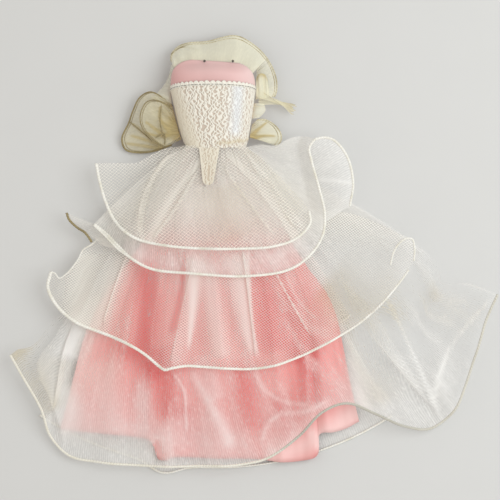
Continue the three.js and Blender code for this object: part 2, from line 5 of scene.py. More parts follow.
import bpy
import numpy as np
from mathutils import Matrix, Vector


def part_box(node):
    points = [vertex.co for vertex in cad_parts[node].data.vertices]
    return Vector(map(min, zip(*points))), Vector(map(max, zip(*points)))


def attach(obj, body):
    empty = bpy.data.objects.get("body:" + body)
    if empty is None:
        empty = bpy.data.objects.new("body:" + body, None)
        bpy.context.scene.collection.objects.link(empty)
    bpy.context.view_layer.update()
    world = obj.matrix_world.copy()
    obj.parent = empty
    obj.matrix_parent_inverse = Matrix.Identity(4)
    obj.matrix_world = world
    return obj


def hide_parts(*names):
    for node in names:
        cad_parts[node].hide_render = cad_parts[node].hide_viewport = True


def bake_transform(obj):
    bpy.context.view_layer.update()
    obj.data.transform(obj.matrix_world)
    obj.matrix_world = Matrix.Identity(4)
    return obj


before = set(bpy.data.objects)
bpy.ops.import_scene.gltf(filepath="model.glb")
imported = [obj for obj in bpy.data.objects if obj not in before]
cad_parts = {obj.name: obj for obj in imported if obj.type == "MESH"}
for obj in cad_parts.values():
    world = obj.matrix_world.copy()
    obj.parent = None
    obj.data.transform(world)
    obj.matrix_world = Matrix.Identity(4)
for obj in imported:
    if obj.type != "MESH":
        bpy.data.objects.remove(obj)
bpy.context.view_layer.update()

bl_info = {
    "name": "Doll ball gown",
    "version": (1, 0, 0),
    "blender": (4, 5, 0),
    "location": "3D View > Sidebar > Gown",
    "description": "Dresses the frame of a doll's ball gown in its satin, net, organza and lace",
    "category": "Object",
}

MM = 0.001  # the shapes below are in millimetres
CLOTH_MAP = "cloth"  # lengths along the cloth, in metres
# On the satin this map holds painted shade and painted light, on the lace its relief and painted pearl
# sheen, and its aged share also holds painted warm shade
STATE_MAP = "state"  # how close the cloth is gathered, and how much it has aged
NARROWEST_STRIP = 10  # least side given for a flat piece
POINT_GAP = 0.4  # from one point of a thin wire or edge to the next
HEM_POINT_GAP = 0.35
NET_GRAIN = {"upper_net_tier": (-5, 1.0), "middle_net_tier": (8, 1.2)}  # degrees, and how fine

# Heights of the laid skirt over the table, as the frame has them
CLEARANCE = 0.35
WAIST_HALF_WIDTH = 16.6
WAIST_CROWN = 15.5
CROWN_FALL = 6
SKIRT_LENGTH = 182
CROWN_HALF_WIDTH = 32
CROWN_FLARE = 0.4
CROWN_FULLNESS = 0.6
EDGE_HEIGHT_WAIST = 8.2
EDGE_HEIGHT_HEM = 4.6
EDGE_FALL = (40, 100)
OUTSIDE_HEIGHT = -1.3
OUTSIDE_ANGLE = (36, 62)
OUTSIDE_REACH = (8, 45)
LAYER_STEP = (1, 3)
LAYER_SPREAD = 45
HEM_DROP = 4.5
HEM_DROP_FROM = (125, 182)

# Gathers, folds and pleats of the tiers. Starts and falls are shares of the way down to the hem
GATHER_PULL = 0.45
SETBACK = 0.2  # from the hem's line back to the cloth's edge, in millimetres
HEADING = (0.9, 0.55)  # how far the upper net stands up and out over the waist, in millimetres
HEADING_DEPTH = 0.1
SIDE_HOLD = 0.22  # share of the hem's length that a side edge steers
COVERED_FOLD = 1.1  # height of a fold under another tier, in millimetres
FOLD_CARRY = 0.3
FOLD_START = (0.1, 0.45)
PLEAT_START = 0.25
PLEAT_PEAK = 2.33  # brings a pleat to its full height
RIPPLE_START = 0.06
RIPPLE_FALL = (0.1, 0.5)
RIPPLE_AT_HEM = 0.5

# How close the cloth lies: above 0 it is whiter, and below 0 thinner. Pairs are distances down the skirt
WAIST_WHITENING = (30, 64)
WAIST_WHITENESS = 0.52
UPPER_WHITENING = (2, 24)
UPPER_WHITENESS = 0.35
UNDER_TIER_THINNING = 0.42
UNDER_TIER_ENDS = (105, 135)
HEM_WHITENING = (125, 165)
HEM_WHITENESS = 0.2
# The backs' closeness is partly painted light: whiter backs lighten the shade seen through the front tiers
BACK_CLOSENESS = 0.45
BACK_WHITENESS = 0.25
CRISP_EDGE = 0.9
BAND_FADE = 0.14

# Yellowing of the tiers, from 0 to 1. At their left side and waist it also paints warm shade
UPPER_AGE = 0.18  # the upper net all over
# Painted warm shade as well as yellowing
SIDE_AGE_AND_SHADE = 0.22  # the other tiers at their left side
SIDES = (34, 76)  # left of the middle: where that begins, and where it is full
SIDE_AGE_ENDS = (120, 150)  # down from the waist: where it fades, and where it is gone
WAIST_AGE = 0.4  # share of it at the waist
CORD_AGE = 0.62  # the overskirt's hem cord at the right
CORD_AGE_FROM = (24, 52)  # right of the middle: where that begins, and where it is full
CORD_AGE_TO = (100, 135)  # and where it falls by half
CORD_AGE_FALL = 0.5

# Backs of the skirt
BACK_TOP = 2.4
BACK_HALF_WIDTH = 15
BACK_STEP = 1.75
BACK_SETTLE = (8, 26)
BACK_SHEET = 0.25
BACK_EDGE = 0.3
BACK_SAG = 5.5
BACK_SAG_AT = 0.36
BACK_SAG_WIDTH = 0.05

# Bodice
SATIN = 0.6
SKIRT_SATIN = 0.35
SEAM_WAIST = 8.5
SEAM_RISE = 1
UNDERARM = 32
BODICE_LEAN = 1.7
BODICE_CURVE = 0.75
FRONT_RISE = (10.7, 14)
NECK_ROLL = 5.5
NECK_ROLL_LENGTH = 9
NECK_DENT = 0.35
NECK_DENT_FROM = (38, 47)
FRONT_FULLNESS = 0.7
SEAM_TRIM = 0.3  # share of its height that trim keeps at the side seams
LEFT_CORNER = (13, 13)
RIGHT_CORNER = (10, 11)
NECK_TILT = 0.075
BACK_WAIST = 4
BACK_HEIGHT = 44
BACK_ROWS = 41
BACK_HINGE = 0.009  # height of the hinge, in metres
BACK_CURL = 0.45  # share of a back half that curves down from its seam
LAP = 3.5
OUTER_LEVEL = 0.4
INNER_LEVEL = 3.6

# Painted shade and painted light on the bodice's satin: shade at the left and below the lace, light along
# the neck and at the right. Turns are in radians from its middle, and other pairs are heights
LEFT_SHADE = 0.16
LEFT_SHADE_TURN = (0.2, 1.3)
LACE_SHADE = 0.1
LACE_SHADE_ENDS = (36, 44)
NECK_LIGHT = 0.12
NECK_LIGHT_TURN = 0.1
NECK_LIGHT_WIDTH = 0.5
NECK_LIGHT_FROM = (39, 44)
RIGHT_LIGHT = 0.6
RIGHT_LIGHT_TURN = (0.4, 1.3)

# Lace, its edging, the stitches and tacks of dark thread, and the lace point
LACE_OUT = 1.0
LACE_TURN = math.radians(84)
LACE_ARCH = 2.5
LACE_FOOT = 0.9
LACE_PITCH = 1.5
LACE_WAVE = 2.9
LACE_SWAY = 0.42
LACE_THREAD = (0.24, 0.72)
LACE_RELIEF = 0.6
LACE_SINK = 0.1
LACE_PLAIN_TURN = (-0.95, -0.35)  # the left part, where the threads lie flat, in radians
LACE_PLAIN_LEAN = 0.012
LACE_PLAIN_MIDDLE = 17
LACE_PLAIN_RELIEF = (0.4, 0.25)  # height there, and share of the threads' relief
# Painted shade on the lace's left part, in the aged lace colour
LACE_PLAIN_SHADE = 0.4
LACE_ROLL = 0.7  # the rolled lower edge, right of the middle
LACE_ROLL_TURN = (-0.1, 0.25)
LACE_ROLL_HEIGHT = 1.4
LACE_ROLL_SLOPE = 2
LACE_ROLL_WAVE = 0.4
LACE_ROLL_WIDTH = 1.1
LACE_ROLL_AGE = 0.6
# Painted pearl sheen: a bluish-white band of shine on the lace's right
PEARL_SHEEN = 0.6
PEARL_TURN = 0.62
PEARL_WIDTH = 0.2
PEARL_FROM = (4, 9)
EDGING_OUT = 1.55
EDGING_SINK = 0.15
EDGING_SHEET = 0.25
STITCHES = 31
STITCH_REACH = 0.95  # share of the lace's half turn
STITCH_HALF = 0.02
LONG_STITCH = 1.3
SHORT_STITCH = 0.8
STITCH_POINTS = 7
STITCH_ARCH = 0.12
STITCH_DROP = 0.9
STITCH_OUT = 0.35
STITCH_RADIUS = 0.14
TACK_RADIUS = 0.26
POINT_LENGTH = 22
POINT_WIDTH = (11.8, 5.6)
POINT_MIDDLE = (-3.6, -4.2)
POINT_OUT = 0.75
POINT_LIFT = 1.5
POINT_RELIEF = 0.3

# How thread is wound: sides of the tube, ridges as a share of its radius, and length of a turn
WOUND_HEM = {"sides": 10, "overcast": 0.13}
WOUND_LOOP = {"sides": 10, "overcast": 0.14}
WOUND_EDGE = {"sides": 8, "overcast": 0.12}
WOUND_WIRE = {"sides": 8, "overcast": 0.1, "turn": 0.8}
KNOT = {"sides": 8}
FINE_THREAD = {"sides": 6}

# Hems of the front tiers from left to right: x, y and how far the hem stands up
UNDERSKIRT_HEM = [
    (-89.5, -161.5, 0), (-70, -163.5, 0), (-48, -165.5, 0), (-38.5, -167.5, 0), (-36, -171, 0),
    (-33, -178.5, 0), (-28.5, -179, 0), (-25, -177.5, 0), (0, -178, 0), (24, -178.4, 0), (37, -180.2, 0),
    (48, -179.6, 0), (56.5, -177.5, 0), (58.5, -175, 0), (58.8, -170, 0.6), (58.8, -165, 1.2),
    (61, -163.2, 1.4), (67, -163, 1), (74, -161.2, 0), (82, -157, 0),
]
OVERSKIRT_HEM = [
    (-117, -118.5, 6), (-109, -133, 3), (-99.5, -150, 1), (-95, -165, 0), (-84, -176.5, 0), (-66, -180, 0),
    (-37.5, -182, 0), (-9, -182, 0), (15, -181, 1), (30, -177, 3), (47, -164.5, 7), (60, -150.5, 10),
    (74, -145.5, 11), (91, -152, 7), (107, -159, 3), (122, -161, 1), (135, -151.5, 1), (142, -137, 3),
    (147.5, -119, 6), (153, -100, 11), (159.5, -84, 17),
]
MIDDLE_HEM = [
    (-93.5, -71, 9), (-95.5, -80, 6), (-90, -91, 3), (-79, -100, 1), (-59, -108, 1), (-49, -112.3, 2),
    (-39.5, -118.3, 3), (-31.5, -124.8, 4), (-28.6, -126.3, 4), (-25.3, -125.5, 3), (-17, -124.3, 2),
    (-8, -124.9, 0), (5, -125.7, 0), (19, -126.2, 0), (31, -124.6, 1), (48, -119, 2), (65, -110.5, 2),
    (82, -100, 3), (97, -86, 5), (109.5, -70, 9), (113, -62, 12), (112.5, -55, 13), (110, -52, 13),
]
MIDDLE_CORD_END = (109.5, -70)
LEFT_EDGE_RADIUS = 0.4
LEFT_EDGE_FROM = 0.62  # share of the way down the middle tier where its left edge comes into view
MIDDLE_TURNED_EDGE = [
    (99.2, -67.3, 8), (100.9, -59.9, 11), (103.7, -55.3, 12.5), (107.7, -52.2, 13.5), (111.2, -52.6, 13.5),
    (112.6, -57.5, 13), (112.4, -65, 11),
]
SECOND_HEM = [
    (-69.5, -44, 3), (-62.5, -49.5, 1), (-56, -56, 0), (-47, -64, 0), (-36, -69.5, 0), (-12.5, -72, 0),
    (16, -73.5, 0), (41, -70, 0), (53, -62, 0), (60.5, -51, 1), (62, -38.5, 3), (58.5, -23, 6), (54, -7, 9),
    (53, -1, 10.5), (56, 4, 11),
]
SECOND_SIDE_WIRE = [
    (-84.9, -37.6, 5), (-83.6, -41.4, 4), (-79, -46, 2.6), (-74.7, -48.8, 2), (-70.7, -54.2, 1),
]
SECOND_SIDE_EDGE = [(-69.5, -44.5, 4.6), (-63, -50.5, 4), (-55, -58.5, 3.4), (-47.3, -63.8, 3)]
SIDE_FOLD_REACH = 0.12  # share of the hem that the left end's fold takes in
SIDE_FOLD_SINK = 0.8
LOOP_REACH = 0.76  # where on the hem the right loop ends
LOOP_SINK = 1.6
LOOP_CORD = 0.85
LOOP_POINT_GAP = 0.5
SECOND_LOOP_HEM = [
    (56, 4, 11), (62, 5, 11), (67.5, 3, 11), (74.7, -6.3, 9), (78, -20.5, 6), (76.4, -33.6, 1),
]
UPPER_HEM = [
    (-68, -9.5, 4), (-65, -23.5, 3), (-57.5, -42, 1), (-45.5, -52, 0), (-26, -56.5, 0), (-4, -58, 0),
    (14, -58, 0), (31, -57, 0), (45, -52.5, 0), (53.5, -43.5, 0), (53, -36.5, 1),
]

# Side edges of the tiers from the waist to the hem's ends
UNDERSKIRT_LEFT = [
    (-16.6, -0.35), (-34, -41.6), (-51.5, -67.3), (-68.5, -92.9), (-75.5, -108), (-82, -132.8),
    (-89.5, -161.5),
]
UNDERSKIRT_RIGHT = [
    (16.6, -0.35), (36, -41.6), (50.5, -66), (63, -83), (69, -97), (72.5, -113), (77, -136), (82, -157),
]
UPPER_LEFT = [
    (-16.6, -0.35), (-21, -0.2), (-29, -1.1), (-37.6, -5.1), (-45, -9.1), (-56, -9.3), (-68, -9.5),
]
UPPER_RIGHT = [(16.6, -0.35), (26, -6.5), (34.2, -14.8), (44, -25), (51.5, -33.5), (53, -36.5)]
SECOND_LEFT = [(-16.6, -0.35), (-30, -8), (-45, -20), (-58, -32), (-69.5, -44)]
SECOND_RIGHT = [(16.6, -0.35), (25, 1.2), (34, 0.8), (40, 4), (46.5, 6), (52, 5.6), (56, 4)]
MIDDLE_LEFT = [
    (-16.6, -0.35), (-35, -18), (-55, -38), (-70, -54.7), (-75.8, -58.7), (-78.7, -64.4), (-84.4, -71.8),
    (-88.9, -74.7), (-91.2, -72), (-93.5, -71),
]
MIDDLE_RIGHT = [
    (16.6, -0.35), (40, -18), (62.1, -35.1), (78.7, -38.2), (94.6, -44.5), (105, -50), (110, -52),
]
OVERSKIRT_LEFT = [
    (-16.6, -0.35), (-45, -35), (-70, -68), (-91.2, -95.8), (-104.9, -113.4), (-113, -115.5),
    (-117, -118.5),
]
OVERSKIRT_RIGHT = [
    (16.6, -0.35), (60, -22), (95, -42), (112.3, -53.6), (123, -62), (127.7, -66.7), (129, -76), (145, -78),
    (159.5, -84),
]

# Folds: place along the hem from 0 to 1, half width and height
UNDERSKIRT_FOLDS = [
    (0.07, 0.03, 1.2), (0.16, 0.04, 1.6), (0.27, 0.022, 1.2), (0.38, 0.04, 1.8), (0.5, 0.025, 1.3),
    (0.6, 0.04, 1.8), (0.7, 0.02, 1.2), (0.8, 0.03, 1.8), (0.9, 0.02, 2.2),
]
OVERSKIRT_FOLDS = [
    (0.1, 0.03, 3), (0.24, 0.022, 2.5), (0.33, 0.025, 4), (0.41, 0.02, 3), (0.58, 0.03, 3.5),
    (0.71, 0.03, 4), (0.82, 0.025, 4), (0.92, 0.03, 5),
]
MIDDLE_FOLDS = [
    (0.13, 0.025, 3), (0.25, 0.022, 3.5), (0.36, 0.025, 4.5), (0.47, 0.02, 3), (0.58, 0.025, 4.5),
    (0.7, 0.025, 4), (0.84, 0.03, 3.5),
]
SECOND_FOLDS = [
    (0.15, 0.03, 1.6), (0.32, 0.03, 1.8), (0.5, 0.03, 1.5), (0.66, 0.03, 1.8), (0.82, 0.03, 1.5),
]
UPPER_FOLDS = [
    (0.12, 0.035, 3), (0.27, 0.04, 3.5), (0.43, 0.03, 2), (0.6, 0.04, 3.5), (0.78, 0.04, 3),
    (0.92, 0.03, 2),
]

# Pleats: hem point, half width above and at the hem, strength, rise, start and end down the tier,
# and sideways drift
UPPER_PLEATS = [
    (-43, -53.4, 7, 5, 2.4, 1.1, 0.08, 0.9, -46), (-37, -55, 5, 4, 2.0, 0.7, 0.1, 0.92, 6),
    (37, -55, 6, 4, 1.8, 0.6, 0.08, 0.85, -53), (48, -50, 4, 3, 1.7, 0.5, 0.05, 0.85, -28),
]
SECOND_PLEATS = [(-20, -71.5, 4, 3, 1.3, 0.4, 0.3, 0.9, 0), (30, -72, 4, 3, 1.3, 0.4, 0.3, 0.9, 0)]
MIDDLE_PLEATS = [
    (-66, -106, 4, 3, 1.9, 0.7, 0.3, 0.92, 6), (-26, -125, 7, 3, 1.3, 0.7, 0.3, 0.97, 31),
    (23, -126, 9, 1.5, 1.5, 0.7, 0.3, 0.95, 18), (58, -114, 4, 3, 1.8, 0.8, 0.3, 0.9, -20),
]
OVERSKIRT_PLEATS = [
    (-93, -163, 15, 7, 2.6, 1.2, 0.62, 0.9, -110), (129, -157, 26, 3, 2.4, 1.5, 0.4, 0.88, 10),
]

# Bands drawn on the cloth: how much, half width first and last, crisp side, and the points of the band
# Painted shade on the underskirt's satin: deeper pink where it lies in the shade of the net and of its
# folds
SHADED_SATIN = [
    (0.35, 7, 7, 0, (52, -62), (62, -84), (64, -108)), (1.0, 8, 8, 0, (-39, -66), (-39, -92), (-42, -122)),
    (0.85, 8, 9, 0, (27, -68), (28, -92), (34, -120)),
    (0.6, 11, 11, 0, (-34, -112), (-29, -134), (-25, -156)),
    (0.6, 8, 8, 0, (15, -120), (17, -140), (20, -164)), (0.9, 9, 8, 0, (50, -108), (54, -128), (56, -148)),
    (0.2, 4, 4, 0, (-3, -70), (-5, -92), (-6, -116)), (0.8, 6, 6, 0, (34, -140), (41, -154), (44, -168)),
    (0.45, 2, 2, 0, (56, -158), (57, -168), (57, -180)),
    (0.4, 6, 8, 0, (-58, -116), (-46, -121), (-30, -132)),
    (0.75, 9, 9, 0, (40, -78), (47, -100), (52, -124)),
    (0.6, 6, 6, 0, (-20, -146), (-15, -160), (-9, -174)),
]
# Painted light on the underskirt's satin: paler pink where it catches the light
LIT_SATIN = [
    (0.9, 7, 8, 0, (26, -178), (42, -174), (60, -166)), (1.0, 9, 9, 0, (54, -170), (68, -161), (86, -148)),
    (0.9, 3, 3, 0, (-36, -164), (-32, -172), (-29, -184)),
    (0.12, 7, 9, 0, (58, -104), (62, -122), (68, -146)),
    (0.7, 8, 10, 0, (-50, -60), (-66, -92), (-78, -124), (-88, -164)),
    (0.35, 8, 8, 0, (-70, -120), (-66, -140), (-62, -166)),
]
# Closeness bands of the net and organza: partly cloth doubled in folds and pleats, partly painted
# highlights on the folds, painted light over the shade along the satin's edges, and thinner net where the
# satin's painted shade shows
UPPER_BANDS = [
    (0.34, 2, 2.4, -1, (-19, -1), (-29, -7), (-36.2, -16.4), (-42.8, -29), (-44.4, -43), (-40, -58)),
    (0.7, 1.6, 5, 0, (-4, -2), (-14.8, -16), (-24.8, -28.8), (-34.8, -48.5), (-42.2, -66)),
    (0.55, 2.4, 7, -1, (3, -1), (22.8, -22.8), (37, -41.6), (48, -60)),
    (0.45, 1, 1.5, 0, (14, 0), (29.6, -18.8), (43.3, -37), (52, -50)),
    (0.12, 3, 3, 0, (-66, -12), (-56, -34), (-40, -54)), (-0.15, 8, 9, 0, (2, -16), (8, -36), (14, -54)),
]
SECOND_BANDS = [
    (0.15, 3, 3, 0, (-54, -57), (-36, -63), (-16, -67)), (0.1, 6, 6, 0, (-14, -66), (14, -68), (44, -62)),
    (0.2, 4, 4, 0, (30, -66), (48, -52), (60, -34)), (0.3, 3, 3, 0, (20, 2), (40, 4), (58, 4)),
    (0.25, 2, 3, 0, (39, 6), (42, -10), (48, -28)), (0.35, 4, 4, 0, (-38, -50), (-42, -58), (-46, -70)),
    (0.3, 1.6, 1.6, 0, (32, -2), (42, -12), (56, -16)),
]
MIDDLE_BANDS = [
    (-0.6, 7, 8, 0, (-39, -58), (-39, -92), (-42, -128)),
    (-0.15, 7, 8, 0, (28, -58), (29, -92), (36, -128)),
    (0.3, 9.5, 7, -1, (-16, -56), (-16.6, -78), (-18.4, -94), (-22.5, -110), (-28, -128)),
    (0.62, 4.6, 0.8, 0, (-11.3, -60), (-12.6, -86), (-13.6, -98), (-15.6, -118)),
    (-0.8, 1.6, 2.2, 0, (-18.6, -62), (-20.6, -86), (-25.5, -108)),
    (0.78, 15, 4, 1, (18, -56), (19.6, -86), (21.2, -104), (24.6, -122)),
    (0.55, 5, 6, 0, (-4, -62), (-1, -94), (4, -124)), (0.36, 6, 7, 0, (-48, -58), (-61, -82), (-72, -110)),
    (0.7, 10, 8, 0, (-74, -56), (-77, -82), (-82, -108)),
    (0.25, 6, 5, 0, (-58, -56), (-62, -84), (-67, -112)),
    (0.22, 2.5, 3.2, 0, (31, -68), (38.2, -86.6), (46.2, -94), (53.6, -101.5), (69, -109)),
    (0.3, 0.9, 0.9, 0, (38.5, -68), (44, -82.7), (52.5, -94), (60, -99)),
    (0.28, 6, 6, 0, (54, -60), (62, -82), (68, -106)), (-0.1, 14, 10, 0, (88, -56), (86, -80), (84, -104)),
    (0.25, 0.9, 0.9, 0, (-29.6, -68), (-35.9, -103.7), (-36, -118)),
]
OVERSKIRT_BANDS = [
    (-0.18, 8, 8, 0, (12, -116), (17, -140), (26, -168)),
    (-0.2, 9, 9, 0, (44, -112), (46, -134), (40, -158)),
    (0.3, 7, 8, 0, (-86, -134), (-78, -150), (-70, -170)),
    (0.5, 20, 9, -1, (-78, -86), (-90, -106), (-101, -124), (-96.5, -138.5), (-91, -152), (-85, -174)),
    (0.25, 8, 9, 0, (-62, -112), (-60, -140), (-56, -168)),
    (0.5, 0.9, 0.9, 0, (-26, -126), (-18.2, -138.5), (-17.1, -152.8), (-16.5, -164)),
    (-0.25, 9, 9, 0, (-40, -120), (-30, -136), (-25, -158)),
    (-0.9, 2.6, 2.6, 0, (-35, -167), (-32, -173), (-31, -180)),
    (0.8, 8, 6, 0, (-66, -84), (-79, -106), (-86, -122)),
    (0.5, 5, 6, 0, (-100, -100), (-111, -116), (-119, -122)),
    (0.4, 5, 5, 0, (66, -82), (75, -104), (80, -130), (85, -158)),
    (0.3, 6, 6, 0, (-9, -116), (-3, -130), (2, -146)),
    (0.4, 2.5, 4, 0, (-15.5, -124), (-6.3, -141.4), (5.1, -161.3), (10, -174)),
    (0.35, 1.6, 1.3, 0, (21, -125), (27.9, -138.5), (42.2, -145.4), (55, -146)),
    (0.4, 1.3, 1.6, 0, (25, -172), (29.6, -158.5), (36.5, -152.2), (50.7, -149.9), (68, -142)),
    (0.25, 0.9, 0.9, 0, (51, -110), (52, -128), (52.5, -148)),
    (0.18, 6, 7, 0, (-62, -160), (-20, -167), (22, -170)),
    (0.7, 1, 1.2, 0, (95, -80), (108.9, -110), (130, -158)),
    (0.7, 1.1, 1.3, 0, (160, -82), (148.8, -94.6), (136.2, -110), (130.5, -121.4), (122, -150)),
    (-0.2, 5, 5, 0, (158, -98), (148, -122), (136, -150)),
    (0.45, 4, 4, 0, (112, -58), (120, -72), (128, -90)), (0.6, 1, 1, 0, (124, -72), (143, -78), (166, -86)),
    (0.18, 12, 3, 0, (126, -80), (128, -110), (128, -144)),
]

# Bands where the cloth is painted yellower and darker: partly its yellowing, partly painted warm shade
RIGHT_YELLOWING_AND_SHADE = [(0.75, 16, 16, 0, (60, -74), (84, -92), (112, -88))]
AGE_AND_SHADE_BANDS = {
    "upper_net_tier": [
        (0.6, 12, 13, 0, (2, -20), (6, -38), (12, -56)), (0.25, 6, 6, 0, (30, -14), (42, -26), (50, -38)),
    ],
    "second_organza_tier": [],
    "middle_net_tier": RIGHT_YELLOWING_AND_SHADE,
    "organza_overskirt": [
        *RIGHT_YELLOWING_AND_SHADE, (0.3, 12, 12, 0, (118, -80), (138, -94), (156, -88)),
        (0.9, 5, 6, 0, (-100, -100), (-111, -116), (-119, -122)),
        (0.5, 8, 8, 0, (-114, -122), (-103, -138), (-94, -154)),
        (0.4, 9, 10, 0, (74, -90), (80, -110), (90, -130), (96, -150)),
        (0.4, 9, 9, 0, (92, -72), (110, -80), (128, -90)),
        (-0.25, 10, 10, 0, (-74, -84), (-84, -106), (-88, -124)),
    ],
}

# Backs: reach from the waist, half of the fan's angle in degrees, finish and slot
BACKS = {
    "upper_net_tier": (58, 44, "white_net", "white_net"),
    "second_organza_tier": (72, 46, "organza", "organza"),
    "middle_net_tier": (125, 38, "white_net", "white_net"),
    "organza_overskirt": (186, 33, "organza", "organza"),
    "underskirt": (172, 25, "skirt_satin", "pink_satin"),
}

# Ruffle: wired edges, creases and loose folds
RUFFLE_TOP_WIRE = [
    (-25.7, 49, 9), (-25.4, 53.2, 8), (-21.3, 57.6, 7), (-15.5, 59.6, 7), (-5.1, 60.4, 7), (2.9, 62.5, 7),
    (8.9, 63.7, 7), (13.6, 63.1, 7), (18.2, 60.8, 7), (25.1, 55.5, 7), (29.1, 50.8, 8),
]
RUFFLE_TOP_TURNED = [(-25.4, 53.2, 8.6), (-20.2, 56.7, 8.8), (-14.4, 56.7, 9.2), (-10.3, 54.9, 9.6)]
RUFFLE_LEFT_OUTER_WIRE = [
    (-29, 27.5, 9.5), (-37.5, 31.5, 8), (-43.5, 28.5, 7), (-47.5, 21, 6), (-50, 14, 5), (-54, 5, 3.5),
    (-52, -1, 2.5), (-44, -2.8, 2.5), (-34, -1.5, 3.5), (-25.5, 1.5, 6.5),
]
RUFFLE_LEFT_INNER_WIRE = [
    (-25.3, 21.1, 12), (-29.2, 24.5, 13), (-33.2, 26.2, 14), (-36.5, 26.4, 14), (-39.6, 25.1, 13.6),
    (-41.6, 22.2, 13.3), (-42.8, 19, 12.8), (-43.2, 15.8, 12), (-42.6, 12.5, 11.4), (-40.5, 8.6, 10.6),
    (-36.5, 4.6, 10), (-32.5, 1.6, 9.4), (-29.6, 0, 9),
]
RUFFLE_LEFT_CROSSING = [
    (-49.4, 14.6, 6), (-43.3, 9.4, 7.6), (-39.6, 6.3, 8.4), (-35.6, 2.6, 9), (-29.6, -0.2, 9.2),
]
RUFFLE_LEFT_CREASE = [
    (-31.0, 23.2, 14.2), (-31.4, 18.6, 14.8), (-31.7, 13.9, 14.4), (-30.6, 8.4, 13.2), (-29.6, 4.6, 12),
]
RUFFLE_LEFT_GATHER = [
    (-34.2, 5.2, 12.2), (-31.6, 6.6, 13), (-29.4, 7.6, 13), (-29, 4.4, 12), (-29.2, 1.4, 10.4),
]
RUFFLE_RIGHT_WIRE = [(29.1, 50.8, 8), (32.4, 45, 7), (34.5, 38.2, 6), (34.6, 32.5, 6), (33.4, 28.8, 6.5)]
RUFFLE_FAN_WIRE = [
    (23.5, 15.5, 9.5), (27.5, 15.8, 8), (32.5, 13.5, 6), (36.5, 9, 4.8), (37.3, 4.5, 4), (35, 0.8, 4),
]
RUFFLE_CREASES = {
    "ruffle_left_outer": [
        (0.9, 1.4, 0.7, 0, (-27, -2), (-38, 6), (-50, 15)),
        (0.9, 1.3, 0.6, 0, (-27, -1), (-38, 3.4), (-50, 7.2)),
        (0.9, 1.2, 0.6, 0, (-27, -1.5), (-40, 0.6), (-53, 2.6)),
    ],
    "ruffle_left_inner": [
        (0.9, 1.3, 0.7, 0, (-27, 5), (-33, 9), (-41, 15)),
        (0.9, 1.2, 0.6, 0, (-25, 8), (-31.4, 15), (-31.6, 24)),
        (0.8, 1.1, 0.6, 0, (-24, 7), (-34, 6.4), (-42, 9)),
    ],
    "ruffle_right_fan": [
        (0.9, 1.5, 0.6, 0, (18, 4), (24, 10), (30, 15)), (0.9, 1.3, 0.6, 0, (18, 4), (27, 6.4), (35, 6.4)),
    ],
}
TAIL_TWIST = math.radians(150)
TAIL_WIDTH = 7.4
RUFFLE_TAIL = [(24.8, 28, 10), (31, 26.8, 8.4), (38, 24.8, 5.8), (44.4, 22.4, 3.8)]
# Loose folds: body, line along the bodice, line of the free edge, waves, age and closeness
RUFFLE_LOOSE_FOLDS = [
    (
        "ruffle_right_roll", "ruffle_right",
        [(22.8, 38.5, 11.5), (23.9, 40.8, 12), (25.8, 41.8, 12), (28, 41, 11.5), (29.3, 38.6, 11)],
        [(22.6, 29, 10.6), (24.4, 28, 10.6), (26.4, 27.4, 10.2), (28.4, 28, 9.8), (30.4, 29.4, 9)], 3, 1.0,
        0.3,
    ),
    (
        "ruffle_right_foam", "ruffle_right", [(21.6, 25, 10.5), (21, 21, 10.4), (20, 16, 10.2)],
        [(27.4, 24.6, 9.4), (28.2, 21, 9), (24.6, 16.6, 9.2)], 2.5, 0.5, 0.3,
    ),
    (
        "ruffle_left_veil", "ruffle_left",
        [(-22.6, 47, 9), (-24.2, 40, 9), (-25.4, 31, 9.4), (-25.2, 22, 9.8)],
        [(-25.6, 47.2, 7.4), (-27.2, 40.4, 6.6), (-30.6, 34.6, 6.6), (-37.4, 27.4, 7.4)], 2, 0.3, 0.0,
    ),
]
STITCH_LINE = (36, 0.7)  # row of the ruffle's grid, and share of the wire's radius
LEFT_STITCH_LINE = (38, 0.45)
STITCH_LINE_OUT = 0.12
LINE_SHARE = 0.8  # thin lines' share of the wire's radius
# Closeness of the ruffle's lengths, which also lightens the shade on the table that shows through them
RUFFLE_CLOSENESS = {
    "ruffle_top": 0.42, "ruffle_right": 0.1, "ruffle_right_fan": 0.35, "ruffle_left_outer": 0.3,
    "ruffle_left_inner": 0.15,
}
WIRE_TAPER = {"ruffle_left_outer": -0.7, "ruffle_left_inner": 0.35}
RUFFLE_TOP_TURN = (math.radians(-66), math.radians(70))
RUFFLE_TOP_SINK = 1.2
SEAM_OUT = 1.0

# Puffs and gathers of the ruffle
RUFFLE_PUFF = 1.5
RUFFLE_GATHER = 0.5
RUFFLE_ROOT = 0.55  # share of the way out where the yellow of the seam ends
LOOSE_PUFF = 1.2
LOOSE_GATHER = 0.6
LOOSE_ROOT = 0.16

# Points on the seams of the ruffle and the backs, in metres: on the seam, and where the cloth would move
# whole. Nothing bends at them
NECK_BEND = ((0, 0.0498), (0, 0.056))
LEFT_BEND = ((-0.0225, 0.01), (-0.0283, 0.0083))
BEND_WIDTH = 0.006
SEAM_RUN = {-1: (-0.279, 0.96), 1: (0.181, 0.983)}  # the side seams' directions, seen from above

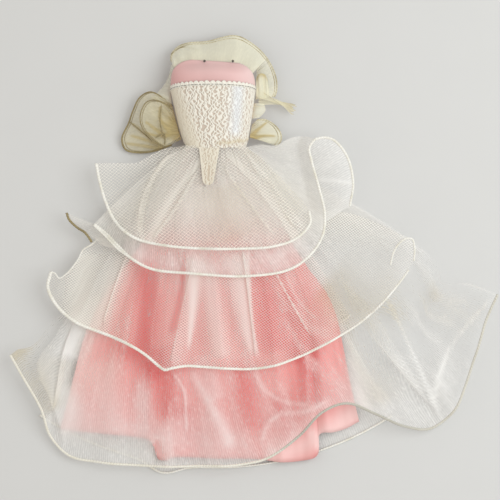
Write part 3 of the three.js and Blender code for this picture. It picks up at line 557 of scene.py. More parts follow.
# Lengths of the ruffle: side, stretch of seam, wire, height over the seam, body, waves, age and thread
RUFFLE_LENGTHS = {
    "ruffle_left_outer": (-1, (24, 4.5), RUFFLE_LEFT_OUTER_WIRE, 0.3, "ruffle_left", 11, 1.8, "aged_wire"),
    "ruffle_left_inner": (-1, (15, 6), RUFFLE_LEFT_INNER_WIRE, 1.4, "ruffle_left", 7, 1.4, "aged_wire"),
    "ruffle_right": (1, (45, 27), RUFFLE_RIGHT_WIRE, 0.3, "ruffle_right", 5, 0.4, "pale_wire"),
    "ruffle_right_fan": (1, (13, 5.5), RUFFLE_FAN_WIRE, 0.3, "ruffle_right", 7, 0.55, "pale_wire"),
}
RUFFLE_LINES = {
    "ruffle_top_turned_wire": (RUFFLE_TOP_TURNED, "ruffle_top", NECK_BEND),
    "ruffle_left_crossing_wire": (RUFFLE_LEFT_CROSSING, "ruffle_left", LEFT_BEND),
    "ruffle_left_crease": (RUFFLE_LEFT_CREASE, "ruffle_left", LEFT_BEND),
    "ruffle_left_gather": (RUFFLE_LEFT_GATHER, "ruffle_left", LEFT_BEND),
}


def smooth(low, high, value):
    share = np.clip((np.asarray(value, float) - low) / (high - low), 0, 1)
    return share * share * (3 - 2 * share)


def mix(first, second, share):
    return first + (second - first) * share


class Line:
    """A smooth line through points, walked by its length from 0 to 1."""

    def __init__(self, points, steps=48):
        points = np.array(points, float)
        reached = np.vstack([2 * points[0] - points[1], points, 2 * points[-1] - points[-2]])
        spans = [self.span(*reached[i : i + 4], steps) for i in range(len(points) - 1)]
        self.path = np.vstack([*spans, points[-1:]])
        gaps = np.linalg.norm(np.diff(self.path, axis=0), axis=1)
        walked = np.concatenate([[0], np.cumsum(gaps)])
        self.length = walked[-1]
        self.shares = walked / self.length

    @staticmethod
    def span(a, b, c, d, steps):
        knots = np.cumsum([0, *(np.linalg.norm(q - p) ** 0.5 for p, q in ((a, b), (b, c), (c, d)))])
        t = np.linspace(knots[1], knots[2], steps, endpoint=False)[:, None]

        def between(p, q, i, j):
            return (p * (knots[j] - t) + q * (t - knots[i])) / (knots[j] - knots[i])

        ab, bc, cd = between(a, b, 0, 1), between(b, c, 1, 2), between(c, d, 2, 3)
        return between(between(ab, bc, 0, 2), between(bc, cd, 1, 3), 1, 2)

    def at(self, share):
        share = np.clip(share, 0, 1)
        return np.stack([np.interp(share, self.shares, axis) for axis in self.path.T], -1)

    def along(self, share, step=0.002):
        ahead = self.at(np.asarray(share) + step) - self.at(np.asarray(share) - step)
        return ahead / np.linalg.norm(ahead, axis=-1, keepdims=True)

    def walk(self, gap=POINT_GAP):
        """Points along the line, about that far apart."""
        return self.at(np.linspace(0, 1, int(self.length / gap)))

    def near(self, x, y):
        return self.shares[np.argmin(np.hypot(self.path[:, 0] - x, self.path[:, 1] - y))]


def reach_from_waist(x, y):
    return np.hypot(np.maximum(np.abs(x) - WAIST_HALF_WIDTH, 0), np.minimum(y, 0))


def front_height(x, y):
    """Height of the lowest front layer over the table."""
    down = np.maximum(0, -y)
    crown = WAIST_CROWN - CROWN_FALL * smooth(0, SKIRT_LENGTH, down)
    fall = smooth(*EDGE_FALL, reach_from_waist(x, y))
    beside = np.degrees(np.arctan2(np.abs(x), down))
    outside = smooth(*OUTSIDE_ANGLE, beside) * smooth(*OUTSIDE_REACH, reach_from_waist(x, y))
    edge = mix(mix(EDGE_HEIGHT_WAIST, EDGE_HEIGHT_HEM, fall), OUTSIDE_HEIGHT, outside)
    inside = 1 - np.abs(x) / (CROWN_HALF_WIDTH + CROWN_FLARE * down)
    return edge + (crown - edge) * smooth(0, 1, inside) ** CROWN_FULLNESS


def layer_height(x, y, layer):
    """Height over the table of a front layer, counted from the satin."""
    return front_height(x, y) + layer * mix(*LAYER_STEP, smooth(0, LAYER_SPREAD, reach_from_waist(x, y)))


def places(columns, rows, first=0, last=1):
    """Places over a sheet: from first to last across it, and from 0 to 1 along it."""
    return np.meshgrid(np.linspace(first, last, columns), np.linspace(0, 1, rows))


def strip(first, last, v):
    """A grid of points in rows from one line to another."""
    return first[None] + (last - first)[None] * v[:, None, None]


class Tier:
    """One front tier, gathered at the waist and spread to its hem."""

    def __init__(self, hem, layer, fan, shown, folds, pleats=(), left=None, right=None, ripples=()):
        self.hem = Line(hem)
        self.layer, self.fan, self.shown = layer, math.radians(fan), shown
        self.folds, self.pleats, self.ripples = folds, pleats, ripples
        self.left = Line(left) if left else None
        self.right = Line(right) if right else None

    def flat(self, p, t, setback):
        """The sheet seen from above: p runs along the hem and t from the waist to it."""
        edge = self.hem.at(p)
        end = edge[..., :2]
        tangent = self.hem.along(p)[..., :2]
        inward = np.stack([-tangent[..., 1], tangent[..., 0]], -1)
        top = np.stack([-WAIST_HALF_WIDTH * np.cos(np.pi * p), np.full_like(p, -CLEARANCE)], -1)
        turn = mix(-self.fan, self.fan, p)
        length = np.linalg.norm(end - top, axis=-1, keepdims=True)
        pull = top + np.stack([np.sin(turn), -np.cos(turn)], -1) * length * GATHER_PULL
        t = t[..., None]
        return top * (1 - t) ** 2 + pull * 2 * t * (1 - t) + (end + inward * setback) * t * t, edge[..., 2]

    def folded(self, s, t):
        """Where the pleats carry each point along the hem, and how far they lift it."""
        p, rise = s.copy(), np.zeros_like(s)
        for x, y, width, tip, strength, height, start, end, drift in self.pleats:
            wide = mix(width, tip, smooth(start, 1, t)) / self.hem.length
            off = (s - self.hem.near(x, y) - drift * (1 - t) / self.hem.length) / wide
            bump = off * np.exp(-(off**2)) * smooth(start, start + PLEAT_START, t) * (1 - smooth(end, 1, t))
            p = p - strength * wide * bump
            rise = rise + PLEAT_PEAK * height * bump
        return np.clip(p, 0, 1), rise

    def place(self, s, t, setback=0.0):
        """Points of the sheet in rows from the waist to the hem."""
        s, t = np.broadcast_arrays(np.asarray(s, float)[None, :], np.asarray(t, float)[:, None])
        p, rise = self.folded(s, t)
        point, lift = self.flat(p, t, setback)
        for side, line in ((0, self.left), (1, self.right)):
            if line is not None:
                drawn = self.flat(np.full_like(t, side), t, setback)[0]
                hold = 1 - smooth(0, SIDE_HOLD, np.abs(p - side))
                point = point + (line.at(t) - drawn) * hold[..., None]
        x, y = point[..., 0], point[..., 1]
        shown = smooth(self.shown, 1, t)
        tallest = max(height for _, _, height in self.folds)
        share = mix(min(1, COVERED_FOLD / tallest) * smooth(*FOLD_START, t), 1, shown)
        fold = sum(height * np.exp(-(((s - place) / width) ** 2)) for place, width, height in self.folds)
        wave = sum(height * np.sin(2 * np.pi * (count * s + turn)) for count, height, turn in self.ripples)
        wave = wave * smooth(0, RIPPLE_START, t) * mix(1, RIPPLE_AT_HEM, smooth(*RIPPLE_FALL, t))
        drop = HEM_DROP * smooth(*HEM_DROP_FROM, -y)
        z = layer_height(x, y, self.layer) + fold * share + lift * shown + rise + wave - drop
        return np.stack([x, y, z], -1)

    def net_map(self, s, t, grid, degrees, fine):
        """The grain of a net laid over the gown, turned and carried on by each fold."""
        s, t = np.broadcast_arrays(np.asarray(s, float)[None, :], np.asarray(t, float)[:, None])
        x = grid[..., 0] + (s - self.folded(s, t)[0]) * self.hem.length * FOLD_CARRY
        across, along = math.cos(math.radians(degrees)) * fine, math.sin(math.radians(degrees)) * fine
        return x * across - grid[..., 1] * along, x * along + grid[..., 1] * across


def bodice_half(y, size):
    return mix(size.waist_half / MM, size.bust_half / MM, np.clip(y / UNDERARM, 0, 1) ** BODICE_CURVE)


def bodice_middle(y):
    return -BODICE_LEAN * np.clip(y / UNDERARM, 0, 1) ** BODICE_CURVE


def seam_height(y):
    return SEAM_WAIST + SEAM_RISE * np.minimum(y / UNDERARM, 1)


def bodice_front(turn, y, outward, size):
    """A point of the bodice's front, turned from its middle towards a side seam."""
    top = size.bodice_height / MM
    rise = mix(*FRONT_RISE, smooth(0, UNDERARM, y))
    roll = NECK_ROLL * smooth(top - NECK_ROLL_LENGTH, top, y) ** 2
    high = (rise - roll + outward) * np.maximum(np.cos(turn), 0) ** FRONT_FULLNESS
    x = bodice_middle(y) + (bodice_half(y, size) + outward) * np.sin(turn)
    return np.stack(np.broadcast_arrays(x, y, seam_height(y) + CLEARANCE / 2 + high), -1)


def to_seam(turn):
    """How far trim stands out from the bodice: whole in the middle and less at the side seams."""
    return SEAM_TRIM + (1 - SEAM_TRIM) * np.cos(turn)


def front_top(turn, size):
    """The neckline over the waist: nearly level, with a rounded corner at each side."""
    half = bodice_half(UNDERARM, size)
    x = half * np.sin(turn)
    across = np.where(turn < 0, LEFT_CORNER[0], RIGHT_CORNER[0])
    down = np.where(turn < 0, LEFT_CORNER[1], RIGHT_CORNER[1])
    into = np.clip((np.abs(x) - half + across) / across, 0, 1)
    return size.bodice_height / MM - NECK_TILT * x - down * (1 - np.sqrt(1 - into**2))


def walked(grid, axis):
    """Lengths along the rows or the columns of a grid of points."""
    gaps = np.linalg.norm(np.diff(grid, axis=axis), axis=-1)
    start = np.zeros_like(np.take(gaps, [0], axis=axis))
    return np.concatenate([start, np.cumsum(gaps, axis=axis)], axis=axis)


def normals(grid):
    out = np.cross(np.gradient(grid, axis=1), np.gradient(grid, axis=0))
    return out / np.maximum(np.linalg.norm(out, axis=-1, keepdims=True), 1e-9)


def mesh_piece(name, points, faces, maps, material):
    """A smooth-shaded mesh object. maps gives each UV map's place for each vertex."""
    mesh = bpy.data.meshes.new(name)
    mesh.from_pydata((points * MM).tolist(), [], faces)
    corners = np.zeros(len(mesh.loops), np.int32)
    mesh.loops.foreach_get("vertex_index", corners)
    for label, map_places in maps.items():
        layer = mesh.uv_layers.new(name=label)
        layer.data.foreach_set("uv", map_places[corners].astype(np.float32).ravel())
    mesh.polygons.foreach_set("use_smooth", np.ones(len(mesh.polygons), bool))
    mesh.materials.append(material)
    piece = bpy.data.objects.new(name, mesh)
    bpy.context.scene.collection.objects.link(piece)
    return piece


def quads(rows, cols, first=0, flip=False):
    at = np.arange(rows * cols).reshape(rows, cols) + first
    around = (at[:-1, :-1], at[:-1, 1:], at[1:, 1:], at[1:, :-1])
    return np.stack(around[::-1] if flip else around, -1).reshape(-1, 4).tolist()


def cloth(name, grid, material, gathered=0.0, aged=0.0, thickness=0.0, grain=None):
    """A sheet of cloth over a grid of points, single or with a lining's thickness."""
    rows, cols = grid.shape[:2]
    u = np.broadcast_to(walked(grid, 1)[-1][None, :], (rows, cols))
    v = np.broadcast_to(walked(grid, 0)[:, cols // 2][:, None], (rows, cols))
    u, v = grain or (u, v)
    lengths = np.stack([u, v], -1).reshape(-1, 2) * MM
    state = np.stack(np.broadcast_arrays(gathered, aged, u)[:2], -1).reshape(-1, 2)
    points, faces = grid.reshape(-1, 3), quads(rows, cols)
    if thickness:
        out = normals(grid).reshape(-1, 3) * thickness / 2
        count = len(points)
        at = np.arange(count).reshape(rows, cols)
        rim = np.concatenate([at[0], at[1:, -1], at[-1, -2::-1], at[-2:0:-1, 0]])
        ahead = np.roll(rim, -1)
        faces = faces + quads(rows, cols, count, True)
        faces += np.stack([rim, rim + count, ahead + count, ahead], -1).tolist()
        points = np.vstack([points + out, points - out])
        lengths, state = np.vstack([lengths, lengths]), np.vstack([state, state])
    return mesh_piece(name, points, faces, {CLOTH_MAP: lengths, STATE_MAP: state}, material)


def cut(grid):
    """Width, length and area of the flat cloth that a grid of points was made from, in metres."""
    width = max(walked(grid, 1)[:, -1].max(), NARROWEST_STRIP)
    length = max(walked(grid, 0)[-1].max(), NARROWEST_STRIP)
    a, b = np.diff(grid, axis=1)[:-1], np.diff(grid, axis=0)[:, :-1]
    area = np.linalg.norm(np.cross(a, b), axis=-1).sum()
    return {
        "flat": (width * MM, length * MM),
        "area": float(min(area, width * length)) * MM * MM,
    }


def tube(name, path, radius, material, sides=10, overcast=0.0, turn=1.7, taper=0.0, aged=0.0):
    """A cord along a path, with the ridges of its overcast thread."""
    run = np.gradient(path, axis=0)
    run /= np.linalg.norm(run, axis=1, keepdims=True)
    side = np.cross(run, (0, 0, 1))
    side /= np.maximum(np.linalg.norm(side, axis=1, keepdims=True), 1e-9)
    up = np.cross(side, run)
    length = np.concatenate([[0], np.cumsum(np.linalg.norm(np.diff(path, axis=0), axis=1))])
    angle = np.linspace(0, 2 * np.pi, sides, endpoint=False)
    thick = radius * (1 - taper * length / length[-1])[:, None]
    swell = thick * (1 + overcast * np.cos(2 * np.pi * length[:, None] / turn - angle[None, :]))
    ring = np.cos(angle)[None, :, None] * side[:, None] + np.sin(angle)[None, :, None] * up[:, None]
    points = (path[:, None] + swell[..., None] * ring).reshape(-1, 3)
    count = len(path)
    at = np.arange(count * sides).reshape(count, sides)
    ahead = np.roll(at, -1, axis=1)
    faces = np.stack([at[:-1], ahead[:-1], ahead[1:], at[1:]], -1).reshape(-1, 4).tolist()
    faces += [at[0][::-1].tolist(), at[-1].tolist()]
    around = np.broadcast_to(np.abs(angle / np.pi - 1)[None, :], (count, sides)) * radius * np.pi
    lengths = np.stack([np.broadcast_to(length[:, None], (count, sides)), around], -1).reshape(-1, 2) * MM
    state = np.zeros_like(lengths)
    state[:, 1] = np.repeat(np.broadcast_to(aged, count), sides)
    return mesh_piece(name, points, faces, {CLOTH_MAP: lengths, STATE_MAP: state}, material)


class Shade:
    """A socket of a material. Maths on it adds Math nodes, and node adds any other."""

    def __init__(self, tree, socket=None):
        self.tree, self.socket = tree, socket

    def node(self, kind, settings=None, sockets=None, output=0):
        made = self.tree.nodes.new(kind)
        for label, value in (settings or {}).items():
            setattr(made, label, value)
        for label, value in (sockets or {}).items():
            if isinstance(value, Shade):
                self.tree.links.new(value.socket, made.inputs[label])
            else:
                made.inputs[label].default_value = value
        return Shade(self.tree, made.outputs[output] if made.outputs else None)

    def out(self, output):
        return Shade(self.tree, self.socket.node.outputs[output])

    def maths(self, operation, *others):
        return self.node("ShaderNodeMath", {"operation": operation}, dict(enumerate((self, *others))))

    def __add__(self, other):
        return self.maths("ADD", other)

    def __sub__(self, other):
        return self.maths("SUBTRACT", other)

    def __rsub__(self, other):
        return self.node("ShaderNodeMath", {"operation": "SUBTRACT"}, {0: other, 1: self})

    def __mul__(self, other):
        return self.maths("MULTIPLY", other)

    def __truediv__(self, other):
        return self.maths("DIVIDE", other)

    __radd__, __rmul__ = __add__, __mul__

    def ease(self, low, high):
        """From 0 at low to 1 at high, smoothly."""
        settings = {"interpolation_type": "SMOOTHSTEP"}
        return self.node("ShaderNodeMapRange", settings, {"Value": self, "From Min": low, "From Max": high})

    def blend(self, first, second):
        """first where this is 0 and second where it is 1, as colours."""
        return self.node("ShaderNodeMix", {"data_type": "RGBA"}, {0: self, 6: first, 7: second}, 2)

    def noise(self, place, scale, stretch=(1, 1, 1), detail=2.0):
        """A soft noise over a place in metres, with that many lumps to a metre."""
        spread = tuple(scale * share for share in stretch)
        vector = self.node("ShaderNodeVectorMath", {"operation": "MULTIPLY"}, {0: place, 1: spread})
        return self.node("ShaderNodeTexNoise", {}, {"Vector": vector, "Scale": 1.0, "Detail": detail})

    def cloth_place(self):
        return self.node("ShaderNodeUVMap", {"uv_map": CLOTH_MAP})

    def split(self, place):
        """The two numbers of a UV place."""
        first = self.node("ShaderNodeSeparateXYZ", {}, {0: place})
        return first, first.out(1)

    def state(self):
        """How close the cloth is gathered and how much it has aged, with painted warm shade mixed into the
        age; on the satin, its painted shade and painted light.
        """
        return self.split(self.node("ShaderNodeUVMap", {"uv_map": STATE_MAP}))

    def principled(self, colour, roughness, **settings):
        sockets = {"Base Color": colour, "Roughness": roughness}
        sockets.update({label.replace("_", " "): value for label, value in settings.items()})
        return self.node("ShaderNodeBsdfPrincipled", {}, sockets)

    def sheer(self, cover, colour, lit, roughness, normal=None, through=0.35):
        """Cloth that lets light through its threads and shows what is behind between them."""
        extra = {"Normal": normal} if normal else {}
        front = self.principled(colour, roughness, Sheen_Weight=0.25, Sheen_Roughness=0.4, **extra)
        behind = self.node("ShaderNodeBsdfTranslucent", {}, {"Color": rgba(lit)})
        threads = self.node("ShaderNodeMixShader", {}, {0: through, 1: front, 2: behind})
        gap = self.node("ShaderNodeBsdfTransparent")
        return self.node("ShaderNodeMixShader", {}, {0: cover, 1: gap, 2: threads})

    def bump(self, height, strength, distance):
        sockets = {"Height": height, "Strength": strength, "Distance": distance}
        return self.node("ShaderNodeBump", {}, sockets)


# Lumps of the finishes' noises to a metre
SATIN_THREADS = 6000
SATIN_CLOUDS = 45
NET_SWAY = 70
ORGANZA_SWAY = 160
ORGANZA_GLINT = 900
ORGANZA_SHIMMER = 75
LACE_GRAIN = 2500
CORD_WEAR = 120
THREAD_FUZZ = 4000
METAL_SCRATCHES = 3000
TABLE_GRAIN = 30

# Threads of the finishes, in metres, and how far the satin's painted shade deepens its colour
THREAD_DEPTH = 0.0002
ORGANZA_DEPTH = 0.0003
ORGANZA_RIB = 0.0013
LEAST_COVER = 0.04
CORD_TURN = 0.0017
CORD_LAY = 0.004
BROWNED_CORD = 0.42
SHADED_SATIN_SHARES = (0.84, 0.36, 0.36)


def rgba(colour, share=1.0):
    return (*(channel * share for channel in colour[:3]), 1.0)


def satin_finish(pen, colour, lit_colour):
    place = pen.cloth_place()
    threads = pen.noise(place, SATIN_THREADS, (1, 0.12, 1))
    clouds = pen.noise(place, SATIN_CLOUDS, (1, 0.5, 1), 3.0)
    # The state map holds the satin's painted shade, which deepens the pink, and its painted light, which
    # turns it to the lit colour
    painted_shade, pale = pen.state()
    tone = clouds.ease(0.3, 0.75).blend(rgba(colour, 0.95), rgba(colour, 1.03))
    tone = painted_shade.blend(tone, rgba([channel * share for channel, share in zip(colour, SHADED_SATIN_SHARES)]))
    tone = pale.blend(tone, rgba(lit_colour))
    rough = 0.36 + 0.12 * clouds
    normal = pen.bump(threads, 0.25, THREAD_DEPTH)
    return pen.principled(tone, rough, Normal=normal, Sheen_Weight=0.3, Sheen_Roughness=0.35)


def net_finish(pen, colour, aged_colour, cell, thread, haze):
    place = pen.cloth_place()
    u, v = pen.split(place)
    gathered, aged = pen.state()
    sway = (pen.noise(place, NET_SWAY) - 0.5) * cell * 0.6
    rows = [(u + sway) / cell + v / (cell * 0.8), (u + sway) / cell - v / (cell * 0.8)]
    edges = (1 - thread - 0.08, 1 - thread + 0.08)
    strands = [((row.maths("FRACT") - 0.5).maths("ABSOLUTE") * 2).ease(*edges) for row in rows]
    knots = strands[0].maths("MAXIMUM", strands[1])
    cover = haze + (1 - haze) * knots
    cover = cover * (1 + gathered.maths("MINIMUM", 0.0))
    cover = cover + (1 - cover) * gathered.maths("MAXIMUM", 0.0)
    # aged carries yellowing and painted warm shade
    tone = aged.blend(rgba(colour), rgba(aged_colour))
    return pen.sheer(cover, tone, colour, 0.75)


def organza_finish(pen, colour, aged_colour, least, grain, rib, through):
    place = pen.cloth_place()
    u = pen.split(place)[0]
    gathered, aged = pen.state()
    sway = (pen.noise(place, ORGANZA_SWAY) - 0.5) * 0.0012
    ribs = (((u + sway) / ORGANZA_RIB).maths("FRACT") - 0.5).maths("ABSOLUTE") * 2
    glint = pen.noise(place, ORGANZA_GLINT, (1, 0.4, 1))
    weave = rib * ribs + (1 - rib) * glint + 0.3 * glint.ease(0.52, 0.8)
    shimmer = pen.noise(place, ORGANZA_SHIMMER, (1, 0.3, 1), 4.0).ease(0.45, 0.75)
    cover = least + grain * (weave - 0.5) + 0.32 * (shimmer - 0.35)
    cover = cover + (1 - cover) * gathered
    # aged carries yellowing and painted warm shade
    tone = aged.blend(rgba(colour), rgba(aged_colour))
    normal = pen.bump(weave, 0.3, ORGANZA_DEPTH)
    return pen.sheer(cover.maths("MAXIMUM", LEAST_COVER), tone, colour, 0.5, normal, through)


def lace_finish(pen, colour, hole_colour, pearl_colour, aged_colour):
    place = pen.cloth_place()
    ridge, aged = pen.state()
    grain = pen.noise(place, LACE_GRAIN)
    # The ground colour shows lower down the relief: the satin between the threads, painted darker as shade
    # in the hollows
    tone = (ridge + 0.25 * (grain - 0.5)).ease(0.1, 0.7).blend(rgba(hole_colour), rgba(colour))
    tone = aged.maths("MAXIMUM", 0.0).blend(tone, rgba(pearl_colour))
    tone = (aged * -1).maths("MAXIMUM", 0.0).blend(tone, rgba(aged_colour))
    return pen.principled(
        tone, 0.55 - 0.2 * ridge, Normal=pen.bump(grain, 0.3, THREAD_DEPTH), Sheen_Weight=0.3,
        Coat_Weight=0.25, Coat_Roughness=0.25,
    )


def cord_finish(pen, colour, dark):
    place = pen.cloth_place()
    u, v = pen.split(place)
    strands = ((u / CORD_TURN + v / CORD_LAY).maths("FRACT") - 0.5).maths("ABSOLUTE") * 2
    wear = pen.noise(place, CORD_WEAR, (1, 0.2, 1), 3.0)
    tone = wear.ease(0.35, 0.8).blend(rgba(colour), rgba(dark))
    # Painted shade in the grooves between the twisted strands
    tone = (0.4 * (1 - strands)).blend(tone, rgba(dark, 0.9))
    tone = pen.state()[1].blend(tone, rgba(dark, BROWNED_CORD))
    return pen.principled(tone, 0.6, Normal=pen.bump(strands, 0.5, THREAD_DEPTH), Sheen_Weight=0.3)


def thread_finish(pen, colour):
    fuzz = pen.noise(pen.cloth_place(), THREAD_FUZZ)
    return pen.principled(fuzz.blend(rgba(colour, 0.7), rgba(colour, 1.3)), 0.8, Sheen_Weight=0.4)


def metal_finish(pen, colour):
    place = pen.node("ShaderNodeTexCoord", {}, {}, 3)
    scratches = pen.noise(place, METAL_SCRATCHES, (1, 0.1, 1), 3.0)
    tone = scratches.blend(rgba(colour, 0.8), rgba(colour, 1.05))
    return pen.principled(tone, 0.28 + 0.2 * scratches, Metallic=1.0)


def table_finish(pen, colour):
    place = pen.node("ShaderNodeTexCoord", {}, {}, 3)
    grain = pen.noise(place, TABLE_GRAIN, (1, 1, 1), 4.0)
    return pen.principled(grain.blend(rgba(colour, 0.985), rgba(colour, 1.015)), 0.75)


def length_property(name, description, default):
    return bpy.props.FloatProperty(name=name, description=description, default=default, unit="LENGTH")


def colour_property(name, description, default):
    return bpy.props.FloatVectorProperty(
        name=name, description=description, default=default, subtype="COLOR"
    )


class GownSizes(bpy.types.PropertyGroup):
    """Sizes of the gown's cloth and trim."""

    waist_half: length_property("Half waist", "Half of the bodice's width at the waist", 0.0167)
    bust_half: length_property("Half bust", "Half of the bodice's width at the underarm", 0.0238)
    bodice_height: length_property("Bodice height", "From the waist to the neckline", 0.0482)
    lace_height: length_property("Lace height", "From the waist to the lace's top", 0.0355)
    edging_height: length_property("Edging height", "Height of the scalloped edging", 0.003)
    scallops: bpy.props.IntProperty(
        name="Scallops", description="Scallops along the edging", default=23, min=4, max=60
    )
    hem_cord: length_property("Hem cord", "Radius of the front tiers' hem cord", 0.0008)
    back_cord: length_property("Back cord", "Radius of the hem cord under the gown", 0.0006)
    wire: length_property("Wire", "Radius of the ruffle's covered wire", 0.0004)
    net_cell: length_property("Net cell", "Width of one diamond of the net", 0.0023)
    net_thread: bpy.props.FloatProperty(
        name="Net thread", description="Share of a diamond that its thread covers", default=0.145,
        subtype="FACTOR",
    )


class GownColours(bpy.types.PropertyGroup):
    """Colours of the gown's cloth and trim."""

    satin: colour_property("Bodice satin", "Pale pink of the bodice", (0.725, 0.47, 0.455))
    satin_pale: colour_property("Lit bodice satin", "Bodice where it catches the light", (0.86, 0.68, 0.66))
    skirt_pale: colour_property(
        "Lit skirt satin", "Underskirt where it catches the light", (0.855, 0.56, 0.54)
    )
    skirt: colour_property("Skirt satin", "Deeper pink of the underskirt", (0.77, 0.285, 0.27))
    net: colour_property("Net", "White of the two net tiers", (0.95, 0.93, 0.89))
    # The aged net colour also paints warm shade on the net tiers
    net_aged: colour_property("Aged net", "Yellow of the net where it has aged", (0.62, 0.54, 0.36))
    organza: colour_property("Organza", "White of the two organza tiers", (0.97, 0.96, 0.94))
    # The aged colour also yellows the organza tiers and paints warm shade on them
    aged: colour_property("Aged organza", "Yellow of the old ruffle near its seam", (0.54, 0.43, 0.19))
    ruffle: colour_property("Ruffle", "Cream of the ruffle's organza", (0.975, 0.955, 0.76))
    lace: colour_property("Lace", "White of the lace's threads", (0.82, 0.785, 0.70))
    # The ground is painted darker than the satin, as shade in the lace's hollows
    lace_ground: colour_property(
        "Lace ground", "What shows between the lace's threads", (0.575, 0.485, 0.405)
    )
    lace_pearl: colour_property("Pearl", "Lace where it shines like pearl", (0.76, 0.80, 0.86))
    # The aged lace colour also paints the shade on the lace's left part
    lace_aged: colour_property("Aged lace", "Lace where it has yellowed", (0.62, 0.52, 0.34))
    cord: colour_property("Hem cord", "White of the overcast hems", (0.92, 0.91, 0.87))
    cord_dark: colour_property("Yellowed cord", "Hem cord where it has yellowed", (0.74, 0.71, 0.60))
    cord_worn: colour_property("Worn cord", "Hem cord of the overskirt", (0.83, 0.805, 0.73))
    wire: colour_property("Wire", "Thread over the ruffle's wire", (0.33, 0.265, 0.125))
    wire_pale: colour_property(
        "Pale wire", "Thread over the wire of the top and right ruffle", (0.74, 0.69, 0.51)
    )
    wire_dark: colour_property("Worn wire", "Wire where it has browned", (0.21, 0.16, 0.07))
    thread: colour_property("Thread", "Dark sewing thread", (0.09, 0.075, 0.06))
    metal: colour_property("Snap metal", "Pressed metal of the snaps", (0.72, 0.73, 0.75))
    table: colour_property("Table", "Pale table under the gown", (0.622, 0.622, 0.616))


class StageSettings(bpy.types.PropertyGroup):
    """Camera and lights over the table."""

    camera_height: length_property("Camera height", "Height of the camera over the table", 1.2)
    view_width: length_property("View width", "Width of table that the camera takes in", 0.285)
    view_x: length_property("View x", "Middle of the view, right of the waist", 0.01938)
    view_y: length_property("View y", "Middle of the view, above the waist", -0.05871)
    key_power: bpy.props.FloatProperty(
        name="Key light", description="Power of the large soft light", default=6.1, unit="POWER"
    )
    sky: bpy.props.FloatProperty(
        name="Room light", description="Strength of the room's light", default=0.70, subtype="FACTOR"
    )


# Finishes: how each is made, the names of its colours and sizes, and its other values
FINISHES = {
    "white_net": (net_finish, ("net", "net_aged"), ("net_cell", "net_thread"), (0.03,)),
    "organza": (organza_finish, ("organza", "aged"), (), (0.35, 0.5, 0.4, 0.35)),
    "yellowed_organza": (organza_finish, ("ruffle", "aged"), (), (0.5, 0.16, 0.06, 0.15)),
    "pink_satin": (satin_finish, ("satin", "satin_pale"), (), ()),
    "skirt_satin": (satin_finish, ("skirt", "skirt_pale"), (), ()),
    "white_lace": (lace_finish, ("lace", "lace_ground", "lace_pearl", "lace_aged"), (), ()),
    "hem_cord": (cord_finish, ("cord", "cord_dark"), (), ()),
    "worn_cord": (cord_finish, ("cord_worn", "cord_dark"), (), ()),
    "aged_wire": (cord_finish, ("wire", "wire_dark"), (), ()),
    "pale_wire": (cord_finish, ("wire_pale", "wire"), (), ()),
    "dark_thread": (thread_finish, ("thread",), (), ()),
    "snap_metal": (metal_finish, ("metal",), (), ()),
    "pale_table": (table_finish, ("table",), (), ()),
}


def finish(context, name):
    """The material of that name, made on first use."""
    label = f"{name}_finish"
    material = bpy.data.materials.get(label)
    if material is None:
        make, colours, sizes, values = FINISHES[name]
        given = [getattr(context.scene.gown_colours, colour) for colour in colours]
        given += [getattr(context.scene.gown_sizes, size) for size in sizes]
        material = bpy.data.materials.new(label)
        material.use_nodes = True
        material.node_tree.nodes.clear()
        pen = Shade(material.node_tree)
        pen.node("ShaderNodeOutputMaterial", {}, {"Surface": make(pen, *given, *values)})
    return material


def lace_relief(u, v):
    """Raised threads of the lace from 0 to 1, which wander up it side by side and touch."""
    u = u + 0.5 * np.sin(0.5 * v + 0.35 * u) + 0.35 * np.sin(1.3 * u - 0.8 * v)
    column = np.floor(u / LACE_PITCH)
    raised = np.zeros(np.broadcast(u, v).shape)
    for beside in (-1, 0, 1):
        number = column + beside
        turn = 2 * np.pi * v / LACE_WAVE + 5 * np.sin(7.3 * number) + 1.6 * np.sin(0.7 * v + 4.1 * number)
        reach = LACE_SWAY * (1 + 0.6 * np.sin(1.1 * v + 2.7 * number))
        middle = (number + 0.5 + 0.16 * np.sin(9.1 * number)) * LACE_PITCH + reach * np.sin(turn)
        raised = np.maximum(raised, 1 - smooth(*LACE_THREAD, np.abs(u - middle)))
    return raised


